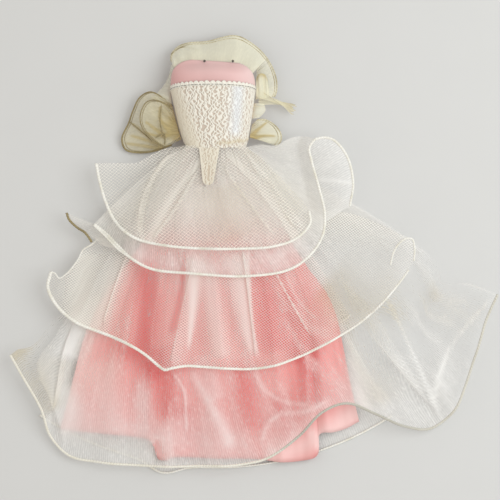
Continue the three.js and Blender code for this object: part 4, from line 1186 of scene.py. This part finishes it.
class GOWN_OT_bodice(bpy.types.Operator):
    """Makes the satin bodice, its two back halves, the lace over it and its scalloped edging"""

    bl_idname = "gown.bodice"
    bl_label = "Bodice"

    def execute(self, context):
        size = context.scene.gown_sizes
        self.front(context, size)
        self.lace(context, size, self.edging(context, size))
        self.stitches(context, size)
        self.backs(context, size)
        self.tacks(context)
        return {"FINISHED"}

    def front(self, context, size):
        turn, v = places(91, 61, -np.pi / 2, np.pi / 2)
        y = front_top(turn, size) * v
        dent = NECK_DENT * np.sin(turn * 5 + 1) * smooth(*NECK_DENT_FROM, y)
        grid = bodice_front(turn, y, dent, size)
        # Painted shade: the satin darker towards its left side and under the lace
        painted_shade = LEFT_SHADE * smooth(*LEFT_SHADE_TURN, -turn)
        painted_shade = painted_shade + LACE_SHADE * (1 - smooth(*LACE_SHADE_ENDS, y))
        # Painted light: along the neck and towards the right side
        middle = np.exp(-(((turn - NECK_LIGHT_TURN) / NECK_LIGHT_WIDTH) ** 2))
        lit = NECK_LIGHT * middle * smooth(*NECK_LIGHT_FROM, y)
        pale = RIGHT_LIGHT * smooth(*RIGHT_LIGHT_TURN, turn) + lit
        piece = cloth("bodice_front_satin", grid, finish(context, "pink_satin"), painted_shade, pale, SATIN)
        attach(piece, "bodice")
        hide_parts("bodice_front")

    def lace(self, context, size, edging):
        turn, v = places(301, 211, -LACE_TURN, LACE_TURN)
        top = size.lace_height / MM - LACE_ARCH * (turn / LACE_TURN) ** 2
        foot = -LACE_FOOT * (1 + 0.35 * np.sin(turn * 9) + 0.25 * np.sin(turn * 23 + 1))
        y = mix(foot, top, v)
        across = bodice_half(y, size) * turn
        relief = lace_relief(across, y)
        plain = 1 - smooth(*LACE_PLAIN_TURN, turn + LACE_PLAIN_LEAN * (y - LACE_PLAIN_MIDDLE))
        height, share = LACE_PLAIN_RELIEF
        relief = mix(relief, height + share * relief, plain)
        wave = LACE_ROLL_WAVE * np.sin(turn * 11)
        off = (y - LACE_ROLL_HEIGHT - LACE_ROLL_SLOPE * turn - wave) / LACE_ROLL_WIDTH
        roll = smooth(*LACE_ROLL_TURN, turn) * np.exp(-(off**2))
        proud = LACE_OUT - LACE_SINK + LACE_RELIEF * relief + LACE_ROLL * roll
        grid = bodice_front(turn, y, proud * to_seam(turn), size)
        pearl = np.exp(-(((turn - PEARL_TURN) / PEARL_WIDTH) ** 2)) * PEARL_SHEEN
        # The yellowed share holds the roll's yellowing and the left part's painted shade
        yellowed = np.maximum(LACE_ROLL_AGE * roll, LACE_PLAIN_SHADE * plain)
        pearl = pearl * smooth(*PEARL_FROM, y) - yellowed
        piece = cloth("lace_overlay_cloth", grid, finish(context, "white_lace"), relief, pearl)
        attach(piece, "bodice")
        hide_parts("lace_overlay")
        plain_cloth = cut(bodice_front(turn, y, LACE_OUT * to_seam(turn), size))

    def edging(self, context, size):
        steps = size.scallops * 12
        turn, v = places(steps + 1, 9, -LACE_TURN, LACE_TURN)
        height = size.edging_height / MM
        lobe = np.abs(np.sin(np.pi * size.scallops * (turn / LACE_TURN + 1) / 2))
        foot = size.lace_height / MM - LACE_ARCH * (turn / LACE_TURN) ** 2 - height * 0.5
        peak = lobe * (0.85 + 0.15 * np.sin(turn * 31))
        y = foot + v * height * (0.62 + 0.38 * peak)
        puff = 0.2 * lobe * np.sin(np.pi * v) ** 0.7 + 0.12 * np.sin(turn * 97 + 6 * v)
        grid = bodice_front(turn, y, (EDGING_OUT - EDGING_SINK + puff) * to_seam(turn), size)
        relief = np.clip(0.55 + 0.45 * lobe, 0, 1)
        lace = finish(context, "white_lace")
        piece = cloth("scalloped_edging_lace", grid, lace, relief, thickness=EDGING_SHEET)
        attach(piece, "bodice")
        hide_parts("scalloped_edging")
        return piece

    def stitches(self, context, size):
        """A dark running stitch along the foot of the edging."""
        for number, middle in enumerate(np.linspace(-STITCH_REACH, STITCH_REACH, STITCHES)):
            uneven = LONG_STITCH if number % 3 else SHORT_STITCH
            turn = LACE_TURN * (middle + np.linspace(-STITCH_HALF, STITCH_HALF, STITCH_POINTS) * uneven)
            y = size.lace_height / MM - LACE_ARCH * (turn / LACE_TURN) ** 2 - STITCH_DROP
            arch = STITCH_ARCH * np.sin(np.linspace(0, np.pi, STITCH_POINTS))
            path = bodice_front(turn, y, (EDGING_OUT + STITCH_OUT + arch) * to_seam(turn), size)
            thread = finish(context, "dark_thread")
            piece = tube(f"running_stitch_{number:02d}", path, STITCH_RADIUS, thread, **FINE_THREAD)
            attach(piece, "bodice")

    def backs(self, context, size):
        for side, label, level in ((-1, "left", OUTER_LEVEL), (1, "right", INNER_LEVEL)):
            u, v = places(61, BACK_ROWS)
            top = mix(UNDERARM, BACK_HEIGHT, smooth(0, 0.5, u))
            y = mix(BACK_WAIST, top, v)
            seam = bodice_middle(y) + side * bodice_half(y, size)
            drop = seam_height(y) - CLEARANCE / 2 - level
            x = mix(seam, -side * LAP, u**1.5)
            z = level + drop * (1 - np.minimum(u / BACK_CURL, 1) ** 1.2) ** 2
            grid = np.stack([x, y, z], -1)
            satin = finish(context, "pink_satin")
            piece = cloth(f"bodice_back_{label}_satin", grid, satin, thickness=SATIN)
            middle = BACK_ROWS // 2
            hinge = (seam[middle, 0] * MM, y[middle, 0] * MM, BACK_HINGE)
            inner = (hinge[0] - side * BEND_WIDTH, hinge[1], BACK_HINGE)
            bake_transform(piece)
            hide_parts(f"bodice_back_{label}")

    def tacks(self, context):
        """Knots of dark thread on the neckline."""
        for label in ("left", "right"):
            low, high = (np.array(corner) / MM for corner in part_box(f"neckline_tack_{label}"))
            middle = (low + high) / 2
            turn = np.linspace(0, 4 * np.pi, 60)
            wide = 0.42 + 0.1 * np.cos(turn * 1.5)
            rise = 0.22 * np.sin(turn * 1.5) - 0.35
            path = middle + np.stack([wide * np.cos(turn), wide * np.sin(turn), rise], -1)
            thread = finish(context, "dark_thread")
            piece = tube(f"neckline_tack_{label}_knot", path, TACK_RADIUS, thread, **KNOT)
            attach(piece, "bodice")
            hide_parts(f"neckline_tack_{label}")


def front_tiers():
    """The five layers of the skirt's front, from the satin to the upper net."""
    return {
        "underskirt": Tier(
            UNDERSKIRT_HEM, 0, 45, 0.6, UNDERSKIRT_FOLDS, (), UNDERSKIRT_LEFT, UNDERSKIRT_RIGHT,
            [(23, 0.12, 0.1), (37, 0.1, 0.4)],
        ),
        "organza_overskirt": Tier(
            OVERSKIRT_HEM, 1, 62, 0.72, OVERSKIRT_FOLDS, OVERSKIRT_PLEATS, OVERSKIRT_LEFT, OVERSKIRT_RIGHT,
            [(31, 0.16, 0.2), (53, 0.12, 0.7)],
        ),
        "middle_net_tier": Tier(
            MIDDLE_HEM, 2, 70, 0.62, MIDDLE_FOLDS, MIDDLE_PLEATS, MIDDLE_LEFT, MIDDLE_RIGHT,
            [(29, 0.2, 0.5), (47, 0.12, 0.1)],
        ),
        "second_organza_tier": Tier(
            SECOND_HEM, 3, 82, 0.8, SECOND_FOLDS, SECOND_PLEATS, SECOND_LEFT, SECOND_RIGHT,
            [(27, 0.14, 0.9), (43, 0.1, 0.3)],
        ),
        "upper_net_tier": Tier(
            UPPER_HEM, 4, 82, 0.15, UPPER_FOLDS, UPPER_PLEATS, UPPER_LEFT, UPPER_RIGHT,
            [(25, 0.22, 0.3), (41, 0.15, 0.8)],
        ),
    }


BANDS = {
    "organza_overskirt": OVERSKIRT_BANDS,
    "middle_net_tier": MIDDLE_BANDS,
    "second_organza_tier": SECOND_BANDS,
    "upper_net_tier": UPPER_BANDS,
}
TIER_GRIDS = {
    "organza_overskirt": (521, 91),
    "middle_net_tier": (481, 81),
    "second_organza_tier": (361, 61),
    "upper_net_tier": (361, 61),
}

# Hem cords: finish, share of the cord's radius, taper and age
HEM_CORDS = {
    "organza_overskirt": ("worn_cord", 0.9, 0.0, CORD_AGE),
    "middle_net_tier": ("hem_cord", 1.2, 0.4, 0.0),
    "second_organza_tier": ("hem_cord", 1.05, 0.2, 0.0),
    "upper_net_tier": ("hem_cord", 1.05, 0.15, 0.0),
}


def bands(grid, drawn):
    """How much closer the cloth lies at each point, from bands drawn on the gown."""
    closer = np.zeros(grid.shape[:2])
    for amount, first, last, crisp, *points in drawn:
        line = Line(points, 12)
        run = np.diff(line.path, axis=0)
        off = grid[..., None, :2] - line.path[:-1]
        held = np.clip((off * run).sum(-1) / (run * run).sum(-1), 0, 1)
        gap = np.linalg.norm(off - held[..., None] * run, axis=-1)
        near = gap.argmin(-1)[..., None]
        held, gap = (np.take_along_axis(every, near, -1)[..., 0] for every in (held, gap))
        share = mix(line.shares[near[..., 0]], line.shares[near[..., 0] + 1], held)
        side = np.take_along_axis(run[:, 0] * off[..., 1] - run[:, 1] * off[..., 0], near, -1)[..., 0]
        wide = np.where(side * crisp > 0, np.minimum(CRISP_EDGE, last), mix(first, last, share))
        fade = smooth(0, BAND_FADE, share) * (1 - smooth(1 - BAND_FADE, 1, share))
        closer = closer + amount * fade * np.exp(-((gap / wide) ** (4 if crisp else 2)))
    return closer


def bend_at_waist(piece):
    """Bakes the piece's place into its mesh."""
    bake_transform(piece)


class GOWN_OT_underskirt(bpy.types.Operator):
    """Makes the front of the pink satin underskirt"""

    bl_idname = "gown.underskirt"
    bl_label = "Underskirt"

    def execute(self, context):
        tier = front_tiers()["underskirt"]
        grid = tier.place(np.linspace(0, 1, 281), np.linspace(0, 1, 71))
        # Painted shade and painted light of the satin, from the shaded and lit satin bands
        painted_shade, pale = (np.clip(bands(grid, drawn), 0, 1) for drawn in (SHADED_SATIN, LIT_SATIN))
        satin = finish(context, "skirt_satin")
        piece = cloth("underskirt_front_satin", grid, satin, painted_shade, pale, SKIRT_SATIN)
        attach(piece, "bodice")
        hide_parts("underskirt_front")
        return {"FINISHED"}


class GOWN_OT_front_tiers(bpy.types.Operator):
    """Makes the net and organza tiers with their corded hems"""

    bl_idname = "gown.front_tiers"
    bl_label = "Front tiers"

    def execute(self, context):
        size = context.scene.gown_sizes
        tiers = front_tiers()
        for key, (columns, rows) in TIER_GRIDS.items():
            tier = tiers[key]
            s, t = np.linspace(0, 1, columns), np.linspace(0, 1, rows)
            grid = tier.place(s, t, SETBACK)
            if key == "upper_net_tier":
                grid[..., 1:] += np.array(HEADING) * (1 - smooth(0, HEADING_DEPTH, t))[:, None, None]
            slot = "white_net" if key in NET_GRAIN else "organza"
            grain = tier.net_map(s, t, grid, *NET_GRAIN[key]) if key in NET_GRAIN else None
            gathered, aged = self.state(key, grid)
            piece = cloth(f"{key}_front_cloth", grid, finish(context, slot), gathered, aged, grain=grain)
            bend_at_waist(piece)
            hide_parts(f"{key}_front")
            cord = self.hem(context, size, key, tier)
            if key == "middle_net_tier":
                side = tier.place([0.0], np.linspace(LEFT_EDGE_FROM, 1, 90), SETBACK)[:, 0]
                wound = finish(context, "hem_cord")
                rolled = tube(f"{key}_left_edge", side, LEFT_EDGE_RADIUS, wound, **WOUND_EDGE)
                bend_at_waist(rolled)
        self.loop(context, size, tiers["second_organza_tier"])
        self.side_fold(context, tiers["second_organza_tier"])
        self.edge_line(context, "middle_net_tier", "turned_edge", MIDDLE_TURNED_EDGE, 2, 0.5, "hem_cord")
        return {"FINISHED"}

    def state(self, key, grid):
        """How close a tier's cloth lies at each point, and how much it has aged."""
        left, down = -grid[..., 0], -grid[..., 1]
        # yellowed holds the tier's yellowing together with its painted warm shade
        drawn, yellowed = bands(grid, BANDS[key]), bands(grid, AGE_AND_SHADE_BANDS[key])
        if key == "upper_net_tier":
            return UPPER_WHITENESS * (1 - smooth(*UPPER_WHITENING, down)) + drawn, UPPER_AGE + yellowed
        near_waist = 1 - smooth(*WAIST_WHITENING, down)
        gathered = near_waist * WAIST_WHITENESS + drawn * (1 - near_waist)
        if key == "organza_overskirt":
            under = (1 - near_waist) * (1 - smooth(*UNDER_TIER_ENDS, down))
            gathered = gathered - UNDER_TIER_THINNING * under + HEM_WHITENESS * smooth(*HEM_WHITENING, down)
        # The left side and the waist get yellowing and painted warm shade
        beside = smooth(*SIDES, left) * (1 - smooth(*SIDE_AGE_ENDS, down))
        return gathered, SIDE_AGE_AND_SHADE * np.maximum(beside, WAIST_AGE * near_waist) + yellowed

    def hem(self, context, size, key, tier):
        """A tier's hem cord, browned where it has aged."""
        last = tier.hem.near(*MIDDLE_CORD_END) if key == "middle_net_tier" else 1
        path = tier.place(np.linspace(0, last, int(tier.hem.length * last / HEM_POINT_GAP)), [1.0])[0]
        kind, thick, taper, age = HEM_CORDS[key]
        fall = CORD_AGE_FALL * smooth(*CORD_AGE_TO, path[:, 0])
        browned = age * smooth(*CORD_AGE_FROM, path[:, 0]) * (1 - fall)
        radius = size.hem_cord / MM * thick
        wound = finish(context, kind)
        cord = tube(f"{key}_front_hem", path, radius, wound, taper=taper, aged=browned, **WOUND_HEM)
        bend_at_waist(cord)
        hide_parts(f"{key}_front_cord")
        return cord

    def edge_line(self, context, key, label, points, layer, radius, kind):
        """A thin sewn edge along points that stand up from a layer."""
        path = Line(points).walk()
        path[:, 2] += layer_height(path[:, 0], path[:, 1], layer)
        piece = tube(f"{key}_{label}", path, radius, finish(context, kind), **WOUND_EDGE)
        bend_at_waist(piece)
        return path

    def side_fold(self, context, tier):
        """The second tier's left end, folded under and held by a browned wire."""
        key = "second_organza_tier"
        wire = self.edge_line(context, key, "side_wire", SECOND_SIDE_WIRE, 3, 0.7, "aged_wire")
        self.edge_line(context, key, "side_edge", SECOND_SIDE_EDGE, 3, 0.55, "hem_cord")
        u, v = np.linspace(0, 1, 61), np.linspace(0, 1, 31)
        seam = tier.place(mix(0, SIDE_FOLD_REACH, u), [1.0])[0]
        edge = np.stack([np.interp(u, np.linspace(0, 1, len(wire)), axis) for axis in wire.T], -1)
        edge = edge + (seam[-1] - edge) * smooth(0.6, 1, u)[:, None] * 0.3
        grid = strip(edge, seam, v)
        grid[..., 2] += 0.6 * np.sin(np.pi * v)[:, None] * np.sin(3 * np.pi * u)[None, :] - SIDE_FOLD_SINK
        piece = cloth(f"{key}_side_fold", grid, finish(context, "organza"), 0.15, 0.25)
        bend_at_waist(piece)

    def loop(self, context, size, tier):
        """The second tier's organza turned back under its own hem at the right."""
        hem = Line(SECOND_LOOP_HEM)
        u, v = np.linspace(0, 1, 121), np.linspace(0, 1, 41)
        edge, path = hem.at(u), hem.walk(LOOP_POINT_GAP)
        for points in (edge, path):
            points[:, 2] += layer_height(points[:, 0], points[:, 1], 3)
        seam = tier.place(mix(1, LOOP_REACH, u), [1.0])[0]
        seam[:, 2] -= LOOP_SINK * smooth(0, 0.1, u)
        grid = strip(seam, edge, v)
        crease = np.exp(-(((u[None, :] - 0.62 - 0.25 * (v[:, None] - 0.5)) / 0.03) ** 2))
        grid[..., 2] += 1.2 * np.sin(np.pi * v)[:, None] * np.sin(np.pi * u)[None, :]
        grid[..., 2] += 0.5 * crease * np.sin(np.pi * v)[:, None]
        piece = cloth("second_organza_loop_cloth", grid, finish(context, "organza"), 0.32 + 0.35 * crease)
        bend_at_waist(piece)
        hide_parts("second_organza_loop")
        radius = size.hem_cord / MM * LOOP_CORD
        cord = tube("second_organza_loop_hem", path, radius, finish(context, "hem_cord"), **WOUND_LOOP)
        bend_at_waist(cord)
        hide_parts("second_organza_loop_cord")


class GOWN_OT_backs(bpy.types.Operator):
    """Makes the backs of the skirt, which lie on the table"""

    bl_idname = "gown.backs"
    bl_label = "Skirt backs"

    def execute(self, context):
        size = context.scene.gown_sizes
        names = list(BACKS)
        for number, key in enumerate(names):
            reach, angle, kind, slot = BACKS[key]
            angle = math.radians(angle)
            outside = [BACKS[other][0] for other in names[:number]]
            s, t = places(121, 61)
            grid = self.panel(s, t * (reach - BACK_EDGE), reach, angle, outside, BACK_SHEET)
            # On the satin back these numbers paint it deeper pink, as shade under the gown
            closer = BACK_CLOSENESS + BACK_WHITENESS * (1 - smooth(0, 0.5, t))
            piece = cloth(f"{key}_back_cloth", grid, finish(context, kind), closer)
            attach(piece, "bodice")
            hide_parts(f"{key}_back")
            if key != "underskirt":
                along = np.linspace(0, 1, int(reach * angle * 4))
                radius = size.back_cord / MM
                path = self.panel(along, reach, reach, angle, outside, radius + 0.05)
                cord = tube(f"{key}_back_hem", path, radius, finish(context, "hem_cord"), **WOUND_EDGE)
                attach(cord, "bodice")
                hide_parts(f"{key}_back_cord")
        return {"FINISHED"}

    def panel(self, s, distance, reach, angle, outside, lowest):
        turn = mix(-angle, angle, s)
        share = distance / reach
        if reach == BACKS["organza_overskirt"][0]:
            reach = reach + BACK_SAG * np.exp(-(((s - BACK_SAG_AT) / BACK_SAG_WIDTH) ** 2))
        x = mix(mix(-BACK_HALF_WIDTH, BACK_HALF_WIDTH, s), reach * np.sin(turn), share)
        y = mix(BACK_TOP, BACK_TOP - reach * np.cos(turn), share)
        z = np.full_like(x, lowest)
        for other in outside:
            z = z + BACK_STEP * (1 - smooth(other + BACK_SETTLE[0], other + BACK_SETTLE[1], distance))
        return np.stack([x, y, z], -1)


class GOWN_OT_lace_point(bpy.types.Operator):
    """Makes the lace point that hangs from the waist"""

    bl_idname = "gown.lace_point"
    bl_label = "Lace point"

    def execute(self, context):
        u, v = places(61, 111)
        y = mix(-CLEARANCE, -POINT_LENGTH, v)
        wide = mix(*POINT_WIDTH, v) * np.sqrt(1 - 0.85 * np.clip((v - 0.88) / 0.12, 0, 1) ** 2)
        x = mix(*POINT_MIDDLE, v) + (u - 0.5) * wide
        edge = np.exp(-((np.minimum(u, 1 - u) / 0.1) ** 2))
        slit = np.exp(-(((u - 0.5) / 0.09) ** 2)) * smooth(0.45, 0.6, v) * (1 - smooth(0.85, 0.93, v))
        relief = np.clip(np.maximum(lace_relief(x * 1.5, y * 1.1), edge) - slit, 0, 1)
        net = layer_height(x, y, 4)
        z = net + POINT_OUT + POINT_LIFT * smooth(0, POINT_LENGTH, -y) + POINT_RELIEF * relief
        grid = np.stack([x, y, z], -1)
        piece = cloth("lace_point_cloth", grid, finish(context, "white_lace"), relief, -0.3)
        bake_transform(piece)
        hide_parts("lace_point")
        return {"FINISHED"}


class GOWN_OT_ruffle(bpy.types.Operator):
    """Makes the yellowed organza ruffle with its wired edges"""

    bl_idname = "gown.ruffle"
    bl_label = "Ruffle"

    def execute(self, context):
        size = context.scene.gown_sizes
        u = np.linspace(0, 1, 161)
        turn = mix(*RUFFLE_TOP_TURN, u)
        neck = bodice_front(turn, front_top(turn, size), 0, size)
        neck[:, 2] -= RUFFLE_TOP_SINK
        self.length(
            context, "ruffle_top", neck, RUFFLE_TOP_WIRE, "ruffle_top", NECK_BEND, 6, 0.1, "pale_wire"
        )
        for name, (side, stretch, wire, above, body, waves, age, thread) in RUFFLE_LENGTHS.items():
            y = mix(*stretch, u)
            out = bodice_half(y, size) + SEAM_OUT
            seam = np.stack([bodice_middle(y) + side * out, y, seam_height(y) + above], -1)
            start = seam[len(seam) // 2, :2] * MM
            across, along = SEAM_RUN[side]
            end = start + np.array([along, -across]) * side * BEND_WIDTH
            self.length(context, name, seam, wire, body, (start, end), waves, age, thread)
        for name, (points, body, (start, end)) in RUFFLE_LINES.items():
            wound = finish(context, "aged_wire")
            piece = tube(name, Line(points).walk(), size.wire / MM * LINE_SHARE, wound, **WOUND_WIRE)
            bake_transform(piece)
        self.tail(context)
        for name, body, top, foot, waves, age, close in RUFFLE_LOOSE_FOLDS:
            self.loose_fold(context, name, body, Line(top), Line(foot), waves, age, close)
        return {"FINISHED"}

    def loose_fold(self, context, name, body, top, foot, waves, age, close):
        """A crumpled length of the ruffle that lies against the bodice's side."""
        u, v = np.linspace(0, 1, 61), np.linspace(0, 1, 31)
        grid = strip(top.at(u), foot.at(u), v)
        turns = 2 * np.pi * waves * u + 1.7 * np.sin(6 * u)
        grid[..., 2] += (LOOSE_GATHER * np.sin(turns))[None, :] * np.sin(np.pi * v**0.6)[:, None]
        grid[..., 2] += LOOSE_PUFF * np.sin(np.pi * v)[:, None]
        root = age * np.exp(-((v / LOOSE_ROOT) ** 2))[:, None]
        # Painted shade in the hollows of the gathers, added to the yellowing at the seam
        dark = root + 0.25 * np.exp(-(((np.sin(turns) + 1) / 0.3) ** 2))[None, :]
        aged = np.clip(dark, 0, 1)
        organza = finish(context, "yellowed_organza")
        piece = cloth(f"{name}_organza", grid, organza, close + 0.4 * dark, aged)
        side = 1 if body == "ruffle_right" else -1
        side * 0.0225
        side * 0.0284
        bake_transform(piece)

    def length(self, context, name, seam, wire, body, bend, waves, age, thread):
        """One gathered length from its seam out to its wired edge."""
        size = context.scene.gown_sizes
        u, v = np.linspace(0, 1, len(seam)), np.linspace(0, 1, 41)
        line = Line(wire)
        grid = strip(seam, line.at(u), v)
        puff = RUFFLE_PUFF * np.sin(np.pi * v)[:, None]
        turns = 2 * np.pi * waves * u + 2.1 * np.sin(5 * u) + 1.4 * np.sin(11 * u)
        uneven = 0.55 + 0.45 * np.sin(7 * u + 1)
        gather = (uneven * np.sin(turns))[None, :] * (RUFFLE_GATHER * np.sin(np.pi * v**0.7))[:, None]
        grid[..., 2] += puff + gather
        root = (1 - smooth(0, RUFFLE_ROOT, v))[:, None]
        crease = np.exp(-(((np.sin(turns) - 1) / 0.25) ** 2))
        fold = bands(grid, RUFFLE_CREASES.get(name, []))
        aged = np.clip(fold + age * root * (0.6 + 0.6 * uneven * crease)[None, :] + 0.3 * age, 0, 1)
        gathered = 0.5 * root * (0.7 + 0.6 * crease)[None, :] * min(1, age) - 0.2 * (age > 1) + 0.5 * fold
        gathered = gathered + RUFFLE_CLOSENESS.get(name, 0)
        wound = finish(context, thread)
        piece = cloth(f"{name}_organza", grid, finish(context, "yellowed_organza"), gathered, aged)
        radius = size.wire / MM
        taper = WIRE_TAPER.get(name, 0)
        cord = tube(f"{name}_wired_edge", line.walk(), radius, wound, taper=taper, **WOUND_WIRE)
        row, fine = LEFT_STITCH_LINE if body == "ruffle_left" else STITCH_LINE
        path = grid[row] + (0, 0, STITCH_LINE_OUT)
        sewn = tube(f"{name}_stitch_line", path, radius * fine, wound, **FINE_THREAD)
        for part, slot in ((piece, "yellowed_organza"), (cord, "aged_wire"), (sewn, "aged_wire")):
            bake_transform(part)
        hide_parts(name)
        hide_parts(f"{name}_wire")

    def tail(self, context):
        """The loose end of the ruffle, twisted by hand."""
        line = Line(RUFFLE_TAIL)
        v, u = np.linspace(0, 1, 121), np.linspace(-0.5, 0.5, 33)
        along = line.along(v)
        flat = np.stack([-along[:, 1], along[:, 0], np.zeros(len(v))], -1)
        flat /= np.linalg.norm(flat, axis=1, keepdims=True)
        up = np.cross(along, flat)
        turn = TAIL_TWIST * v
        across = np.cos(turn)[:, None] * flat + np.sin(turn)[:, None] * up
        wide = TAIL_WIDTH * (1 - 0.35 * np.sin(np.pi * v) ** 2)
        curl = 1.0 * np.cos(u * 13)[None, :, None] * np.cross(along, across)[:, None]
        grid = line.at(v)[:, None] + (u[None, :] * wide[:, None])[..., None] * across[:, None] + curl
        fray = 1.1 * np.sin(u * 61) + 0.8 * np.sin(u * 27 + 1)
        grid = grid + along[-1] * (fray[None, :] * smooth(0.8, 1, v)[:, None])[..., None]
        aged = 0.35 + 0.4 * smooth(0.5, 1, v)[:, None]
        piece = cloth("ruffle_tail_organza", grid, finish(context, "yellowed_organza"), 0.35, aged)
        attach(piece, "ruffle_right")
        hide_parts("ruffle_tail")


class GOWN_OT_snaps(bpy.types.Operator):
    """Gives the press snaps their metal"""

    bl_idname = "gown.snaps"
    bl_label = "Press snaps"

    def execute(self, context):
        metal = finish(context, "snap_metal")
        for name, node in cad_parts.items():
            if name.startswith("snap_"):
                node.data.materials.clear()
                node.data.materials.append(metal)
        return {"FINISHED"}


# Table in millimetres, and camera and lights in metres
TABLE_HALF = 2000
TABLE_LEVEL = -0.2
TABLE_CORNERS = ((-1, -1), (1, -1), (1, 1), (-1, 1))
SENSOR = 36  # width of the camera's film, in millimetres
VIEW_LEVEL = 0.01  # height at which the view has its given width
LIT_PLACE = (0.02, -0.06, 0)
FAR = 20
ROOM_COLOUR = (1.0, 0.975, 0.935, 1.0)
SHEER_LAYERS = 64  # how many see-through layers light may pass
# Lights: place, width, share of the key light's power, and colour
LIGHTS = {
    "window_light": ((0.6, 0.05, 0.88), 0.8, 1.0, (0.95, 0.99, 1.0)),
    "room_bounce": ((-0.8, -0.3, 0.7), 1.0, 0.12, (1.0, 0.86, 0.68)),
}


class GOWN_OT_stage(bpy.types.Operator):
    """Makes the pale table, the soft light and the camera straight above"""

    bl_idname = "gown.stage"
    bl_label = "Stage"

    def execute(self, context):
        scene, stage = context.scene, context.scene.gown_stage
        table = finish(context, "pale_table")
        corners = np.array([(x * TABLE_HALF, y * TABLE_HALF, TABLE_LEVEL) for x, y in TABLE_CORNERS])
        floor = mesh_piece("table_top", corners, [(0, 1, 2, 3)], {}, table)
        camera = bpy.data.cameras.new("overhead_camera")
        camera.sensor_width = SENSOR
        camera.lens = SENSOR * (stage.camera_height - VIEW_LEVEL) / stage.view_width
        camera.clip_end = FAR
        holder = bpy.data.objects.new("overhead_camera", camera)
        holder.location = (stage.view_x, stage.view_y, stage.camera_height)
        scene.collection.objects.link(holder)
        scene.camera = holder
        for name, (place, width, share, colour) in LIGHTS.items():
            self.lamp(scene, name, place, width, stage.key_power * share, colour)
        world = bpy.data.worlds.new("pale_room")
        world.use_nodes = True
        back = world.node_tree.nodes["Background"]
        back.inputs["Color"].default_value = ROOM_COLOUR
        back.inputs["Strength"].default_value = stage.sky
        scene.world = world
        scene.view_settings.view_transform = "Standard"
        scene.cycles.transparent_max_bounces = SHEER_LAYERS
        return {"FINISHED"}

    def lamp(self, scene, name, place, width, power, colour):
        light = bpy.data.lights.new(name, "AREA")
        light.size, light.energy, light.color = width, power, colour
        holder = bpy.data.objects.new(name, light)
        holder.location = place
        aim = np.array(LIT_PLACE) - np.array(place)
        flat = math.hypot(aim[0], aim[1])
        holder.rotation_euler = (math.atan2(flat, -aim[2]), 0, math.atan2(aim[1], aim[0]) - math.pi / 2)
        scene.collection.objects.link(holder)


PIECES = (
    GOWN_OT_stage, GOWN_OT_underskirt, GOWN_OT_backs, GOWN_OT_bodice, GOWN_OT_front_tiers,
    GOWN_OT_lace_point, GOWN_OT_ruffle, GOWN_OT_snaps,
)


class GOWN_PT_panel(bpy.types.Panel):
    """Lists the gown's pieces and their sizes"""

    bl_label = "Doll ball gown"
    bl_idname = "GOWN_PT_panel"
    bl_space_type = "VIEW_3D"
    bl_region_type = "UI"
    bl_category = "Gown"

    def draw(self, context):
        for piece in PIECES:
            self.layout.operator(piece.bl_idname)
        for group in (context.scene.gown_sizes, context.scene.gown_colours, context.scene.gown_stage):
            for label in group.bl_rna.properties.keys():
                if label not in ("rna_type", "name"):
                    self.layout.prop(group, label)


CLASSES = (GownSizes, GownColours, StageSettings, *PIECES, GOWN_PT_panel)


def register():
    for made in CLASSES:
        bpy.utils.register_class(made)
    bpy.types.Scene.gown_sizes = bpy.props.PointerProperty(type=GownSizes)
    bpy.types.Scene.gown_colours = bpy.props.PointerProperty(type=GownColours)
    bpy.types.Scene.gown_stage = bpy.props.PointerProperty(type=StageSettings)


def unregister():
    del bpy.types.Scene.gown_stage
    del bpy.types.Scene.gown_colours
    del bpy.types.Scene.gown_sizes
    for made in reversed(CLASSES):
        bpy.utils.unregister_class(made)


def main():
    register()
    bpy.ops.gown.stage()
    bpy.ops.gown.underskirt()
    bpy.ops.gown.backs()
    bpy.ops.gown.bodice()
    bpy.ops.gown.front_tiers()
    bpy.ops.gown.lace_point()
    bpy.ops.gown.ruffle()
    bpy.ops.gown.snaps()


if __name__ == "__main__":
    main()
